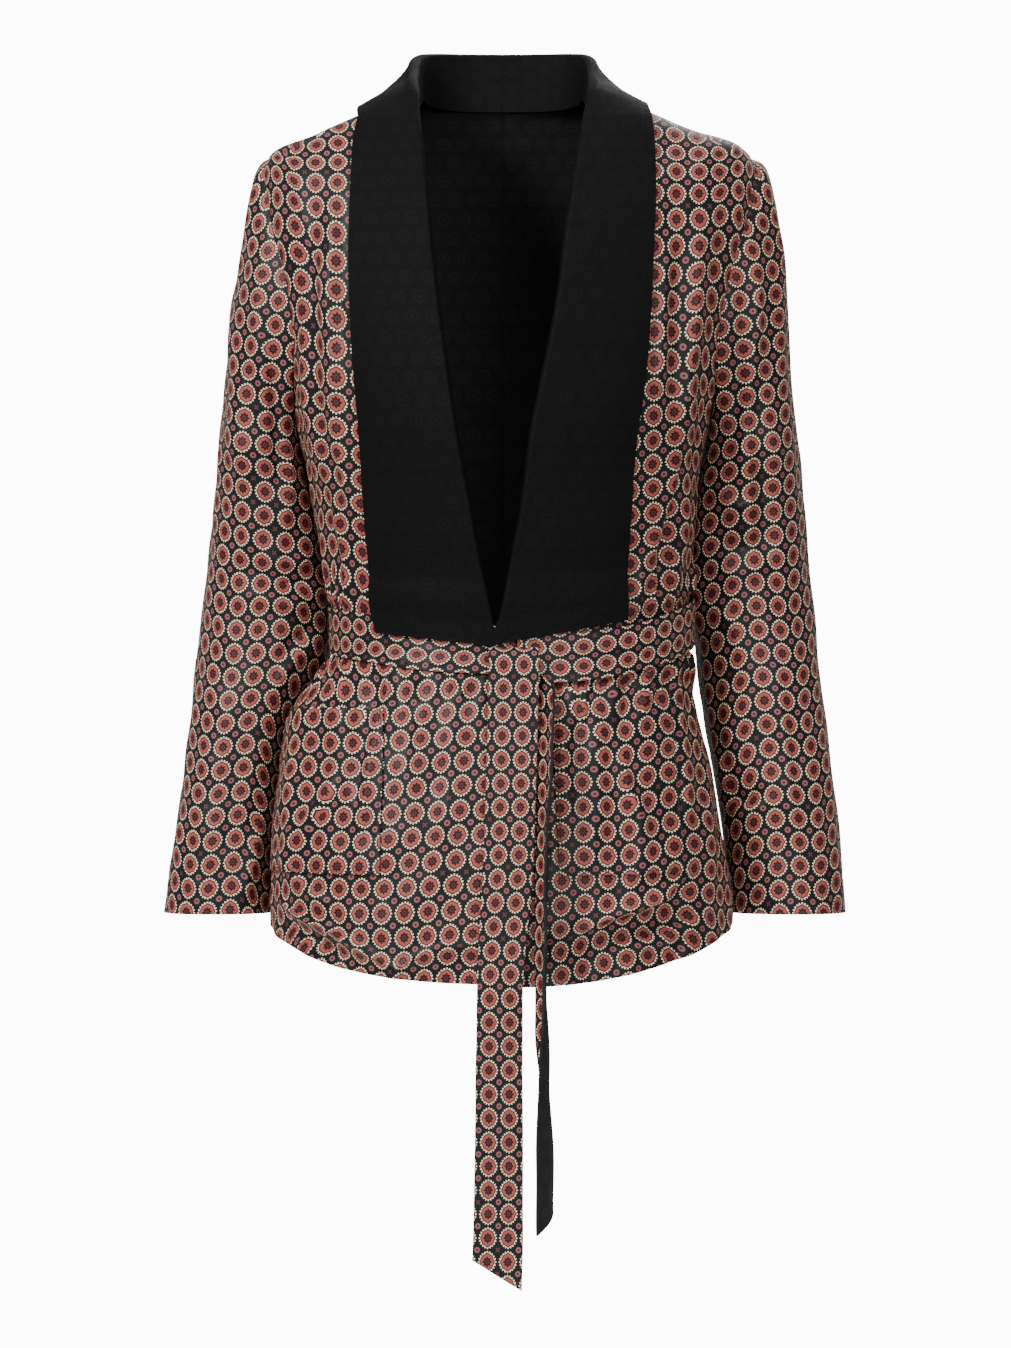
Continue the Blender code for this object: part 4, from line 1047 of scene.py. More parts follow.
@dataclass
class BodyPanels:
    """Grids of the fronts and the back, shared by what is laid on them."""

    form: BodyForm
    arm_mid: float = -0.1395
    arm_rise: float = 0.0955
    arm_front: float = math.radians(23.0)
    arm_back: float = math.radians(21.0)
    neck_half: float = 0.0725
    neck_top: float = 0.0155
    side_hem: float = -0.6540
    hip: float = -0.500
    shoulder_rows: int = 20
    arm_rows: int = 60
    row_step: float = 0.0028
    seam_reach: float = 0.014
    seam_width: float = 0.0035

    def opening(self, z: Array, most: float) -> Array:
        """Angle taken from the side by the armhole at height z."""
        return most * np.sqrt(np.clip(1 - ((z - self.arm_mid) / self.arm_rise) ** 2, 0, 1))

    def heights(self) -> tuple[Array, Array]:
        """Heights at a panel's outer edge, and how far each shoulder row is down its armhole's top.

        Returns:
            Heights and shares.
        """
        shares = np.linspace(0, 1, self.shoulder_rows + 1)[:-1]
        top = self.arm_mid + self.arm_rise
        shoulder = self.neck_top + (top - self.neck_top) * shares
        arm = self.arm_mid + self.arm_rise * np.cos(np.linspace(0, math.pi, self.arm_rows))
        count = int((arm[-1] - self.side_hem) / self.row_step)
        below = np.linspace(arm[-1], self.side_hem, count)[1:]
        z = np.concatenate([shoulder, arm, below])
        mix = np.concatenate([shares, np.ones(len(z) - len(shares))])
        return z, mix

    def neckline(self, theta: Array) -> Array:
        """Height of the neckline at angles near the shoulder.

        Args:
            theta: Angles.

        Returns:
            Heights.
        """
        levels = np.linspace(0.017, -0.03, 95)
        out = np.empty_like(theta)
        for i, t in enumerate(theta):
            wide = self.form.tops[1 if math.sin(t) >= 0 else 0](levels)
            out[i] = np.interp(self.neck_half, wide * abs(math.sin(t)) ** ROUNDNESS, levels)
        return out

    def lower(self, z: Array, theta: Array) -> Array:
        """Bend rows below the hips towards the hem line."""
        share = np.clip((self.hip - z) / (self.hip - self.side_hem), 0, 1)
        return np.where(z < self.hip, self.hip + (self.form.hem_height(theta) - self.hip) * share, z)

    def front_edge(self, hand: Hand, z: float) -> float:
        """Sideways place of a front's inner edge, positive on its own side.

        Args:
            hand: Which front.
            z: Height.

        Returns:
            Distance from the middle.
        """
        t = float(ease((z + 0.030) / 0.022))
        above = (float(self.form.roll(hand, z)) + 0.0045) * (1 - t) + self.neck_half * t
        if z >= -0.4365:
            return above
        return hand.pick(-0.012, -0.004 - 0.044 * float(ease((-0.4365 - z) / 0.030)))

    def front(self, hand: Hand, count: int) -> tuple[Array, Array]:
        """Angles and heights of a front's points, from its inner edge to its side seam.

        Args:
            hand: Which front.
            count: Steps across.

        Returns:
            Angles and heights, rows by columns.
        """
        outer_z, mixes = self.heights()
        top = self.arm_mid + self.arm_rise
        share = np.linspace(0, 1, count + 1)
        theta, z = np.empty((len(outer_z), count + 1)), np.empty((len(outer_z), count + 1))
        for j, (height, mix) in enumerate(zip(outer_z, mixes)):
            outer = math.pi / 2 - float(self.opening(height, self.arm_front))
            if mix < 1:
                inner_z = 0.0105 * (1 - mix) + top * mix
                inner = abs(float(self.form.angle_at(hand.value * self.front_edge(hand, inner_z), inner_z)))
                inner = math.radians(50.0) if j == 0 else inner
                row = inner + (outer - inner) * share
                z[j] = self.neckline(hand.value * row) * (1 - mix) + top * mix
                z[j, -1] = height
            else:
                edge = hand.value * self.front_edge(hand, float(height))
                inner = hand.value * float(self.form.angle_at(edge, height))
                row = inner + (outer - inner) * share
                z[j] = height
            theta[j] = hand.value * row
        return theta, self.lower(z, theta)

    def back(self, half: int) -> tuple[Array, Array]:
        """Angles and heights of the back's points, from the right side seam to the left one.

        Args:
            half: Steps from the middle to a side seam.

        Returns:
            Angles and heights, rows by columns.
        """
        outer_z, mixes = self.heights()
        top = self.arm_mid + self.arm_rise
        share = np.linspace(0, 1, half + 1)
        theta, z = np.empty((len(outer_z), 2 * half + 1)), np.empty((len(outer_z), 2 * half + 1))
        for j, (height, mix) in enumerate(zip(outer_z, mixes)):
            outer = math.pi / 2 + float(self.opening(height, self.arm_back))
            left = math.pi + (outer - math.pi) * share
            lines = []
            for row in (-left, left):
                line = np.full(half + 1, height)
                if mix < 1:
                    start = np.where(np.degrees(np.abs(row)) > 138, 0.0080, self.neckline(row))
                    start = np.clip(start, 0.0080, self.neck_top)
                    line = start * (1 - mix) + top * mix
                    line[-1] = height
                lines.append(line)
            theta[j] = np.concatenate([-left[::-1], left[1:]])
            z[j] = np.concatenate([lines[0][::-1], lines[1][1:]])
        return theta, self.lower(z, theta)

    def cloth_places(self, theta: Array, z: Array, back: bool, printed: bool = True) -> Array:
        """Places on the cloth of a panel's points, across from the middle and up, in metres.

        Args:
            theta: Angles of the points.
            z: Heights of the points.
            back: Whether across counts from the back's middle.
            printed: Whether a front's print is stretched and slanted as it is worn.

        Returns:
            Places, rows by columns by 2.
        """
        base = self.form.point(theta, z)
        low = np.minimum(z, self.form.flat_above)
        high = z > self.form.flat_above
        turn = self.form.angle_at(base[..., 0], low)
        if back:
            turn = np.where(base[..., 0] >= 0, math.pi - turn, -math.pi - turn)
        turn = np.where(high, turn, theta)
        across = self.form.arc(turn, low)
        if back:
            half = np.where(across >= 0, 1, -1) * np.abs(self.form.arc(np.full_like(low, math.pi), low))
            half = np.where(across >= 0, half, self.form.arc(np.full_like(low, -math.pi), low))
            across = half - across
        elif printed:
            near = np.minimum(np.abs(turn), math.radians(62.0))
            spare = np.abs(self.form.arc(near * np.sign(turn), low))
            spare -= np.abs(self.form.point(near * np.sign(turn), low)[..., 0])
            across = across - np.sign(turn) * 0.75 * spare
        step = np.diff(base, axis=0)
        flat = np.diff(across, axis=0)
        climb = np.sqrt(np.maximum(np.sum(step ** 2, -1) - flat ** 2, step[..., 2] ** 2))
        if printed and not back:
            climb *= 1 - 0.17 * (ease((-0.05 - z) / 0.05) * ease((z + 0.28) / 0.07))[1:]
        up = np.concatenate([np.zeros((1, z.shape[1])), -np.cumsum(climb, axis=0)])
        start = int(np.argmin(np.abs(z[:, -1] + 0.43)))
        up = up - up[start] + z[start]
        if back or not printed:
            return np.stack([across, up], -1)
        low_share = ease((-0.34 - z) / 0.14)
        slant = np.where(base[..., 0] < 0, 0.07 - 0.155 * low_share, 0.0)
        lean = np.where(base[..., 0] < 0, 0.085 * np.maximum(-0.42 - z, 0), 0.0)
        return np.stack([across + lean, up + slant * across], -1)

    def gathers(self, point: Array, across: Array, seed: int) -> Array:
        """Short gathers that run out from both edges of the belt.

        Args:
            point: Points of the plain form.
            across: Their places across the cloth.
            seed: Seed of the gathers' sizes.

        Returns:
            How far they stand out.
        """
        far = self.form.belt_distance(point)
        rng = np.random.default_rng(seed)
        rise = np.zeros_like(across)
        for middle in np.arange(-0.26, 0.26, 0.0125):
            place = middle + rng.uniform(-0.004, 0.004)
            for sign in (-1, 1):
                reach, high = rng.uniform(0.022, 0.070), rng.uniform(0.0015, 0.0052)
                wide, slant = rng.uniform(0.0025, 0.0042), rng.uniform(-0.30, 0.30)
                off = sign * far - self.form.belt_half
                line = np.exp(-((across - place - slant * off) / wide) ** 2)
                rise += high * line * ease((off - 0.001) / 0.007) * ease(1 - (off - 0.008) / reach)
        return rise

    def sewn(self, rise: Array, side: Array, far: Array) -> Array:
        """Let folds end at a seam, which lies a little deeper.

        Args:
            rise: How far the cloth stands out.
            side: Distance from the nearest side seam.
            far: Distance from the belt's middle line.

        Returns:
            The rise with its seams.
        """
        rise = rise * ease(side / self.seam_reach)
        dip = SEAM_DIP * np.exp(-(side / self.seam_width) ** 2)
        return rise - dip * ease((far - self.form.belt_edge) / 0.01)


@dataclass
class Fronts:
    """The two fronts with their creases, gathers and hem folds."""

    room: Workroom
    panels: BodyPanels
    steps: int = 84
    creases: dict[Hand, tuple[Crease, ...]] = field(default_factory=lambda: {
        Hand.RIGHT: folds(
            (7.5, 6.5, 0.3, (-134, -62), (-136, -170), (-130, -255), (-119, -335)),
            (7, -3.7, 0, (-152, -80), (-151, -180), (-146, -260)),
            (6.2, 4, -0.3, (-160, -150), (-155, -235), (-142, -330)),
            (4.4, 3.7, 0.4, (-126, -265), (-120, -305), (-113, -330)),
            (5.7, -3.7, 0, (-146, -285), (-136, -345), (-124, -395)),
            (4.4, 3.4, 0.3, (-138, -300), (-128, -360), (-118, -405)),
            (4.8, 3.6, 0.45, (-98, -492), (-102, -515), (-106, -545), (-113, -590)),
            (4.8, -4, 0, (-101, -475), (-107, -520), (-116, -580)),
            (4, 4.7, 0.4, (-129, -525), (-134, -548), (-148, -570), (-156, -598)),
            (5.7, 4, 0, (-60, -470), (-66, -520), (-69, -560)),
            (6.2, 3.4, -0.3, (-40, -475), (-42, -540), (-46, -610)),
            (7, 4, 0, (-165, -505), (-168, -560), (-166, -620)),
        ),
        Hand.LEFT: folds(
            (6.6, 6.5, -0.3, (157, -95), (151, -170), (144, -225), (142, -300)),
            (7, -3.4, 0, (141, -90), (137, -180), (133, -250)),
            (5.3, 3.4, 0.3, (130, -110), (127, -190), (124, -260)),
            (4.8, 5.6, 0.4, (142, -255), (130, -320), (121, -350), (112, -385)),
            (5.3, 3.7, -0.4, (150, -290), (141, -350), (132, -395)),
            (5.3, -4, 0, (135, -300), (126, -350), (120, -400)),
            (4, 5.3, 0.4, (92, -505), (96, -540), (108, -572), (110, -600)),
            (5.3, 4.7, -0.3, (138, -480), (142, -530), (147, -590)),
            (6.2, 3.7, 0, (75, -470), (72, -530), (70, -600)),
            (5.3, 3.4, 0.3, (48, -470), (47, -520), (52, -570)),
            (5.7, 3.7, 0, (160, -500), (163, -560), (168, -620)),
        ),
    })
    hem_folds: dict[Hand, tuple[Crease, ...]] = field(default_factory=lambda: {
        Hand.RIGHT: folds(
            (5.2, 8.8, 0.55, (-186, -632), (-165, -645), (-137, -657), (-105, -675), (-83, -688)),
            (4.6, 7, 0.55, (-90, -690), (-60, -676), (-36, -668), (-10, -665)),
            (4.8, -4.5, 0, (-182, -650), (-150, -665), (-115, -684)),
            (5, 4, 0.4, (-176, -590), (-160, -622), (-126, -640)),
        ),
        Hand.LEFT: folds(
            (5.2, 8.6, -0.55, (36, -666), (58, -658), (90, -645), (126, -634), (150, -610)),
            (5.2, -4.5, 0, (46, -682), (90, -664), (130, -652), (165, -635)),
            (4.6, 5.6, 0.5, (30, -640), (42, -668), (58, -690)),
            (4.8, 4.5, -0.4, (80, -672), (120, -668), (160, -650)),
        ),
    })

    def tucks(self, hand: Hand, x: Array, up: Array) -> Array:
        """How far the cloth turns in below the lines where the hem folds under.

        Args:
            hand: Which front.
            x: Sideways places.
            up: Heights.

        Returns:
            The depth at each place.
        """
        total = np.zeros_like(x)
        for fold in self.hem_folds[hand]:
            if abs(fold.lean) < 0.55:
                continue
            line = np.array(sorted(fold.path)) * MM
            below = np.interp(x, line[:, 0], line[:, 1]) - up
            ends = ease((x - line[0, 0]) / 0.012) * ease((line[-1, 0] - x) / 0.012)
            deep = 0.0014 + 0.0042 * ease((np.abs(x) - 0.050) / 0.02)
            total += deep * ease((below + 0.001) / 0.004) * ends
        return total

    def build(self, hand: Hand) -> tuple[Array, Array, Array]:
        """Work out the outside points, cloth places and outward directions of a front.

        Args:
            hand: Which front.

        Returns:
            Points, cloth places, and directions.
        """
        form = self.room.form
        theta, z = self.panels.front(hand, self.steps)
        base, out = form.point(theta, z), form.normal(theta, z)
        uv = self.panels.cloth_places(theta, z, back=False)
        x, up = base[..., 0], base[..., 2]
        far = np.abs(form.belt_distance(base))
        rise = creases_at(self.creases[hand], x, up)
        rise += UNEVEN * waviness(uv[..., 0], uv[..., 1] * 0.5, 3 + hand.value, (0.05, 0.034, 0.027, 0.019))
        rise *= ease((far - form.belt_edge) / 0.016)
        cover = form.collar_edge(hand, up)
        above = form.belt_distance(base) > 0
        rise = np.where(above, rise * ease((np.abs(x) - cover - 0.001) / 0.010), rise)
        puff = self.panels.gathers(base, uv[..., 0], 11 + hand.value)
        puff = np.where(above, puff * ease((np.abs(x) - cover - 0.001) / 0.006), puff)
        rise += puff + creases_at(self.hem_folds[hand], x, up) - self.tucks(hand, x, up)
        side = np.abs(uv[..., 0] - uv[:, -1:, 0])
        rise = self.panels.sewn(rise, side, far)
        if hand is Hand.RIGHT:
            rise = rise + form.lap(theta, z)
        grid = base + out * rise[..., None]
        grid[:, -1] += unit(grid[:, -2] - grid[:, -1]) * SEAM_GAP
        grid[..., 2] += form.shoulder_lift(base)
        return grid, take_up(uv, base, grid), out

    def cut(self, hand: Hand, grid: Array) -> Array:
        """Places on a front's cloth before it is worn, which give the size it is cut to.

        Args:
            hand: Which front.
            grid: Its outside points.

        Returns:
            Cloth places in metres.
        """
        theta, z = self.panels.front(hand, self.steps)
        flat = self.panels.cloth_places(theta, z, back=False, printed=False)
        return take_up(flat, self.room.form.point(theta, z), grid)

    def dress(self) -> dict[Hand, tuple[Array, Array]]:
        """Make both fronts, and give their points and cloth places for the pockets.

        Returns:
            Points and cloth places of each front.
        """
        made = {}
        for hand in Hand:
            grid, uv, out = self.build(hand)
            made[hand] = (grid, uv)
            self.room.cloth("front_" + hand.word, "printed_satin", grid, uv, CLOTH_WALL, out, ["back"],
                            (hand.pick(0.0035, 0.0085), 0.0), self.cut(hand, grid))
        return made


@dataclass
class Back:
    """The back, gathered a little over the belt, and its black lining inside."""

    room: Workroom
    panels: BodyPanels
    steps: int = 66
    lining_end: float = -0.470
    lining_share: float = 7 / 9
    creases: tuple[Crease, ...] = folds(
        (9.7, 7.1, 0.3, (-98, -110), (-88, -230), (-70, -355)),
        (9.7, 6.8, -0.3, (94, -120), (80, -240), (60, -355)),
        (7, -4, 0, (-118, -180), (-108, -270), (-96, -360)),
        (7, -4, 0, (118, -190), (104, -280), (92, -365)),
        (6.6, 4.3, 0.3, (-140, -215), (-128, -290), (-112, -370)),
        (6.6, 4.3, -0.3, (144, -225), (132, -300), (118, -372)),
        (9.7, 5.3, 0, (0, -230), (6, -300), (4, -375)),
        (6.2, 3.4, 0.3, (-35, -270), (-30, -370)),
        (6.2, 3.1, -0.3, (38, -280), (32, -372)),
        (9.7, 7.1, 0.3, (-45, -455), (-52, -530), (-62, -610)),
        (9.7, 7.1, -0.3, (50, -455), (58, -530), (70, -610)),
        (7.9, 4.7, -0.3, (-100, -450), (-110, -530), (-118, -600)),
        (7.9, 4.7, 0.3, (104, -455), (112, -520), (118, -590)),
        (7, -3.7, 0, (-78, -460), (-84, -540)),
        (7, -3.7, 0, (80, -460), (88, -545)),
        (7.9, 4, 0, (2, -460), (0, -520), (4, -570)),
        (5, 2.2, 0.5, (-160, -632), (-90, -640), (-10, -643), (70, -640), (160, -630)),
        (8.8, 2.8, 0, (-60, -40), (0, -52), (62, -40)),
    )

    def build(self) -> tuple[Array, Array, Array]:
        """Work out the back's outside points, cloth places and outward directions.

        Returns:
            Points, cloth places, and directions.
        """
        form = self.room.form
        theta, z = self.panels.back(self.steps)
        base, out = form.point(theta, z), form.normal(theta, z)
        uv = self.panels.cloth_places(theta, z, back=True)
        x, up = base[..., 0], base[..., 2]
        far = np.abs(form.belt_distance(base))
        rise = creases_at(self.creases, x, up)
        rise += UNEVEN * waviness(uv[..., 0], uv[..., 1] * 0.5, 5, (0.060, 0.041, 0.030, 0.022))
        rise += self.panels.gathers(base, uv[..., 0], 21)
        rise *= ease((far - 0.0205) / 0.006)
        side = np.minimum(np.abs(uv[..., 0] - uv[:, :1, 0]), np.abs(uv[..., 0] - uv[:, -1:, 0]))
        rise = self.panels.sewn(rise, side, far)
        grid = base + out * rise[..., None]
        grid[:, -1] += unit(grid[:, -2] - grid[:, -1]) * SEAM_GAP
        grid[:, 0] += unit(grid[:, 1] - grid[:, 0]) * SEAM_GAP
        grid[..., 2] += form.shoulder_lift(base)
        return grid, take_up(uv, base, grid, self.steps), out

    def dress(self) -> None:
        """Make the back and the two halves of its lining."""
        grid, uv, out = self.build()
        self.room.cloth("back", "printed_satin", grid, uv, CLOTH_WALL, out, FRONT_CLOTHS, (0.009, 0.0))
        theta, z = self.panels.back(self.steps)
        base = self.room.form.point(theta, z)
        base += out * np.minimum(np.sum((grid - base) * out, -1, keepdims=True), 0)
        rows = int(np.argmin(np.abs(z[:, self.steps] - self.lining_end)))
        reach = int(self.steps * self.lining_share)
        for hand in Hand:
            cols = slice(self.steps, self.steps + hand.value * reach, hand.value)
            part, n, place = base[:rows, cols], out[:rows, cols], uv[:rows, cols]
            sag = 0.0007 * waviness(place[..., 0], place[..., 1], 8 + hand.value, (0.07, 0.045, 0.03))
            seam = 0.0011 * np.exp(-(place[..., 0] / 0.003) ** 2)
            inside = part - n * (CLOTH_WALL + 0.0012 + sag - seam)[..., None]
            inside[:, 0, 0] = hand.value * 0.0002
            # The lining halves wear the black lining, which has painted light in its lifted tone.
            self.room.cloth("lining_" + hand.word, "black_lining", inside, place, LINING_WALL, -n,
                            ["back_cloth"])


@dataclass
class PatchPockets:
    """Two patch pockets laid on the fronts, with a folded hem at the mouth."""

    room: Workroom
    # Columns: inner edge at the mouth and foot, outer edge at the mouth and foot, all as distances
    # from the middle, then the mouth's height and the foot's height.
    places: dict[Hand, tuple[float, float, float, float, float, float]] = field(default_factory=lambda: {
        Hand.RIGHT: (0.0930, 0.0960, 0.1790, 0.1850, -0.4830, -0.6125),
        Hand.LEFT: (0.0385, 0.0440, 0.1330, 0.1440, -0.4665, -0.6125),
    })
    lift: float = 0.0012
    wall: float = 0.0012
    hem: float = 0.026
    gape: float = 0.0028
    count: tuple[int, int] = (54, 46)
    shift: dict[Hand, tuple[float, float]] = field(default_factory=lambda: {
        Hand.RIGHT: (0.0050, 0.0020), Hand.LEFT: (0.0102, 0.0016)})

    def patch(self, hand: Hand, grid: Array, uv: Array) -> tuple[Array, Array]:
        """Read a patch of the front under the pocket.

        Args:
            hand: Which front.
            grid: The front's outside points.
            uv: The front's cloth places.

        Returns:
            Points and cloth places of the patch, before it is lifted.
        """
        inner_top, inner_foot, outer_top, outer_foot, mouth, foot = self.places[hand]
        rows, cols = self.count
        reach = np.abs(grid[..., 0]) * np.where(grid[..., 0] * hand.value >= 0, 1, -1)
        known = np.concatenate([reach[..., None], grid, uv], -1)[::-1]
        patch = np.empty((rows + 1, cols + 1, 5))
        for j, share in enumerate(np.linspace(0, 1, rows + 1)):
            z = mouth + (foot - mouth) * share
            inner = inner_top + (inner_foot - inner_top) * share
            outer = outer_top + (outer_foot - outer_top) * share
            line = np.array([[np.interp(z, column[:, 3], values) for values in column.T]
                             for column in np.moveaxis(known, 1, 0)])
            across = np.linspace(inner, outer, cols + 1)
            patch[j] = np.stack([np.interp(across, line[:, 0], values) for values in line.T[1:]], -1)
        return patch[..., :3], patch[..., 3:]

    def dress(self, fronts: dict[Hand, tuple[Array, Array]]) -> None:
        """Lay a pocket on each front, whose points and cloth places are given.

        Args:
            fronts: Points and cloth places of each front.
        """
        for hand in Hand:
            points, places = self.patch(hand, *fronts[hand])
            n = grid_normals(points, points * (1.0, 1.0, 0.0))
            rows, cols = points.shape[:2]
            down = places[:1, :, 1] - places[..., 1]
            across = np.linspace(0, 1, cols)[None, :] * np.ones((rows, 1))
            mouth = np.exp(-(down / 0.020) ** 2) * np.sin(math.pi * across) ** 1.3
            edge = np.minimum(np.minimum(across, 1 - across) * 0.09, places[..., 1] - places[-1:, :, 1])
            plump = 0.0006 * ease(edge / 0.006)
            fold_line = -0.0006 * np.exp(-((down - self.hem) / 0.0018) ** 2)
            ripple = 0.0010 * np.sin(2 * math.pi * across * 3.3 + 1.1 * hand.value) * np.exp(-down / 0.030)
            lift = self.lift + self.gape * mouth + plump + fold_line + ripple * np.sin(math.pi * across)
            raised = points + n * (np.maximum(lift, 0.0004) + self.wall)[..., None]
            self.room.cloth("pocket_" + hand.word, "printed_satin", raised, places, self.wall, n,
                            ["front_" + hand.word + "_cloth"], self.shift[hand], faced=True,
                            stitch_line=self.outline(raised, n))

    def outline(self, raised: Array, n: Array) -> Array:
        """Line of the stitches, just inside the sides and the foot of a pocket."""
        surface = raised + n * 0.0001
        return np.concatenate([surface[:-1, 1], surface[-2, 1:-1], surface[-2::-1, -2]])


@dataclass
class SetInSleeve:
    """A set-in sleeve with a plain hem, creased at the elbow."""

    room: Workroom
    panels: BodyPanels
    around: int = 120
    cap_rows: int = 46
    row_step: float = 0.0032
    tilt: float = 0.15
    creases: dict[Hand, tuple[Crease, ...]] = field(default_factory=lambda: {
        Hand.RIGHT: folds(
            (4.8, -5.6, 0.3, (152, -375), (170, -382), (195, -374), (212, -366)),
            (5.3, 5.3, -0.3, (150, -362), (172, -366), (198, -356)),
            (5.3, 4.7, 0.3, (150, -392), (175, -398), (205, -388)),
            (5.3, -4, 0, (146, -412), (165, -425), (182, -445)),
            (5.3, 4.3, 0.3, (150, -430), (172, -446), (190, -476)),
            (6.6, 5.3, 0.35, (190, -550), (199, -590), (213, -645)),
            (6.6, -3.4, 0, (212, -500), (218, -560), (228, -620)),
            (7.9, 4.3, 0.2, (232, -90), (217, -180), (215, -270), (210, -330)),
            (6.2, 5.3, -0.3, (196, -120), (193, -190), (186, -270)),
            (5.3, -4, 0, (186, -190), (182, -260), (176, -320)),
            (5.3, 4.3, 0, (175, -245), (172, -300), (178, -345)),
            (6.6, 3.4, 0, (196, -300), (204, -345), (222, -380)),
        ) + folds(
            (5.7, 4, 0, (168, -330), (176, -385), (200, -430)),
            (6.6, 6.2, 0.3, (160, -380), (190, -395), (228, -385)),
            (5.3, -5.3, 0, (162, -400), (192, -412), (224, -405)),
            (7, 5.3, 0.2, (215, -110), (212, -200), (205, -290)),
            (7, 5, -0.2, (205, -480), (214, -560), (224, -630)),
            face=Face.BACK),
        Hand.LEFT: folds(
            (7, 5.9, 0.35, (193, -251), (197, -300), (200, -370)),
            (6.6, -3.7, 0, (206, -250), (210, -320), (212, -380)),
            (5.7, 4.3, 0.3, (170, -300), (188, -318), (214, -316)),
            (5.7, -4, 0, (165, -345), (190, -352), (222, -340)),
            (5.7, 4.3, -0.3, (163, -365), (190, -374), (225, -362)),
            (4.8, 5.3, 0.4, (172, -509), (181, -540), (183, -570)),
            (4.4, 4, 0, (176, -563), (195, -567), (210, -560)),
            (4.8, -4, 0, (178, -551), (196, -555), (214, -548)),
            (7, 4, 0.3, (222, -450), (228, -520), (236, -600)),
            (6.2, 5.3, 0.3, (205, -105), (202, -180), (196, -260)),
            (7, 4, -0.3, (220, -80), (222, -150), (222, -240)),
            (5.3, -4, 0, (192, -150), (189, -220), (184, -290)),
            (5.3, 4, 0.3, (166, -395), (186, -415), (196, -450)),
        ) + folds(
            (5.7, 4, 0, (170, -330), (178, -385), (205, -430)),
            (6.6, 6.2, 0.3, (165, -370), (195, -385), (235, -372)),
            (5.3, -5.3, 0, (168, -390), (198, -403), (232, -394)),
            (7, 5.3, 0.2, (222, -110), (220, -200), (212, -290)),
            (7, 5, -0.2, (208, -480), (218, -560), (230, -630)),
            face=Face.BACK),
    })

    def ring(self, hand: Hand, z: float, phi: Array) -> Array:
        """Points round the sleeve at a height below the armhole.

        Args:
            hand: Which sleeve.
            z: Height.
            phi: Angles round the sleeve.

        Returns:
            The points.
        """
        first = hand.pick(1, 3)
        table = [(row[0], *row[first:first + 2], *row[5:]) for row in SLEEVES]
        outer, inner, middle, deep = (float(c(z)) for c in columns(table))
        c, s = np.cos(phi), np.sin(phi)
        x = (outer + inner) / 2 + (outer - inner) / 2 * np.sign(c) * np.abs(c) ** 0.94
        y = middle - deep * np.sign(s) * np.abs(s) ** 0.94
        return np.stack([hand.value * x, y, np.full_like(phi, z)], -1)

    def rings(self, hand: Hand) -> Array:
        """Points of the sleeve without its creases, rings from the armhole to the hem.

        Args:
            hand: Which sleeve.

        Returns:
            Points, rings by places round.
        """
        form, panels = self.room.form, self.panels
        phi = 2 * np.pi * np.arange(self.around) / self.around
        z = panels.arm_mid + panels.arm_rise * np.cos(phi)
        front = phi <= math.pi
        opening = np.where(front, -panels.opening(z, panels.arm_front), panels.opening(z, panels.arm_back))
        theta = hand.value * (math.pi / 2 + opening)
        ring0, lateral = form.point(theta, z), form.normal(theta, z)
        centre = np.array([hand.value * 0.19, 0.0, panels.arm_mid])
        into = unit(np.cross(np.roll(ring0, -1, 0) - np.roll(ring0, 1, 0), lateral))
        into[np.sum(into * (centre - ring0), -1) < 0] *= -1
        ring0 = ring0 - into * 0.0001 - lateral * SEAM_DIP
        first_z = SLEEVES[0][0]
        first = self.ring(hand, first_z, phi)
        span = np.linalg.norm(first - ring0, axis=1)[:, None]
        top = (1 + np.cos(phi)) / 2
        down = np.array([0, 0, -1.0])
        aside = (0.06 + 0.94 * top)[:, None]
        way = unit((np.array([hand.value * 0.75, 0, 0]) + lateral * 0.3) * aside + down * 0.7)
        strength = (0.30 + 0.15 * (1 - top))[:, None]
        head = columns(HEADS)[hand.pick(0, 1)]
        rows = []
        for t in np.linspace(0, 1, self.cap_rows) ** 1.25:
            h00, h10 = 2 * t ** 3 - 3 * t * t + 1, t ** 3 - 2 * t * t + t
            h01, h11 = -2 * t ** 3 + 3 * t * t, t ** 3 - t * t
            p = h00 * ring0 + h10 * way * span * strength + h01 * first + h11 * down * span
            fix = float(head(p[0, 2] + form.shoulder_lift(p[0]))) - hand.value * p[0, 0]
            p[:, 0] += hand.value * fix * top ** 2 * float(ease(t / 0.08)) * (t < 1)
            rows.append(p)
        count = int((first_z - SLEEVES[-1][0]) / self.row_step)
        for height in np.linspace(first_z, SLEEVES[-1][0], count + 1)[1:]:
            rows.append(self.ring(hand, float(height), phi))
        return np.array(rows)

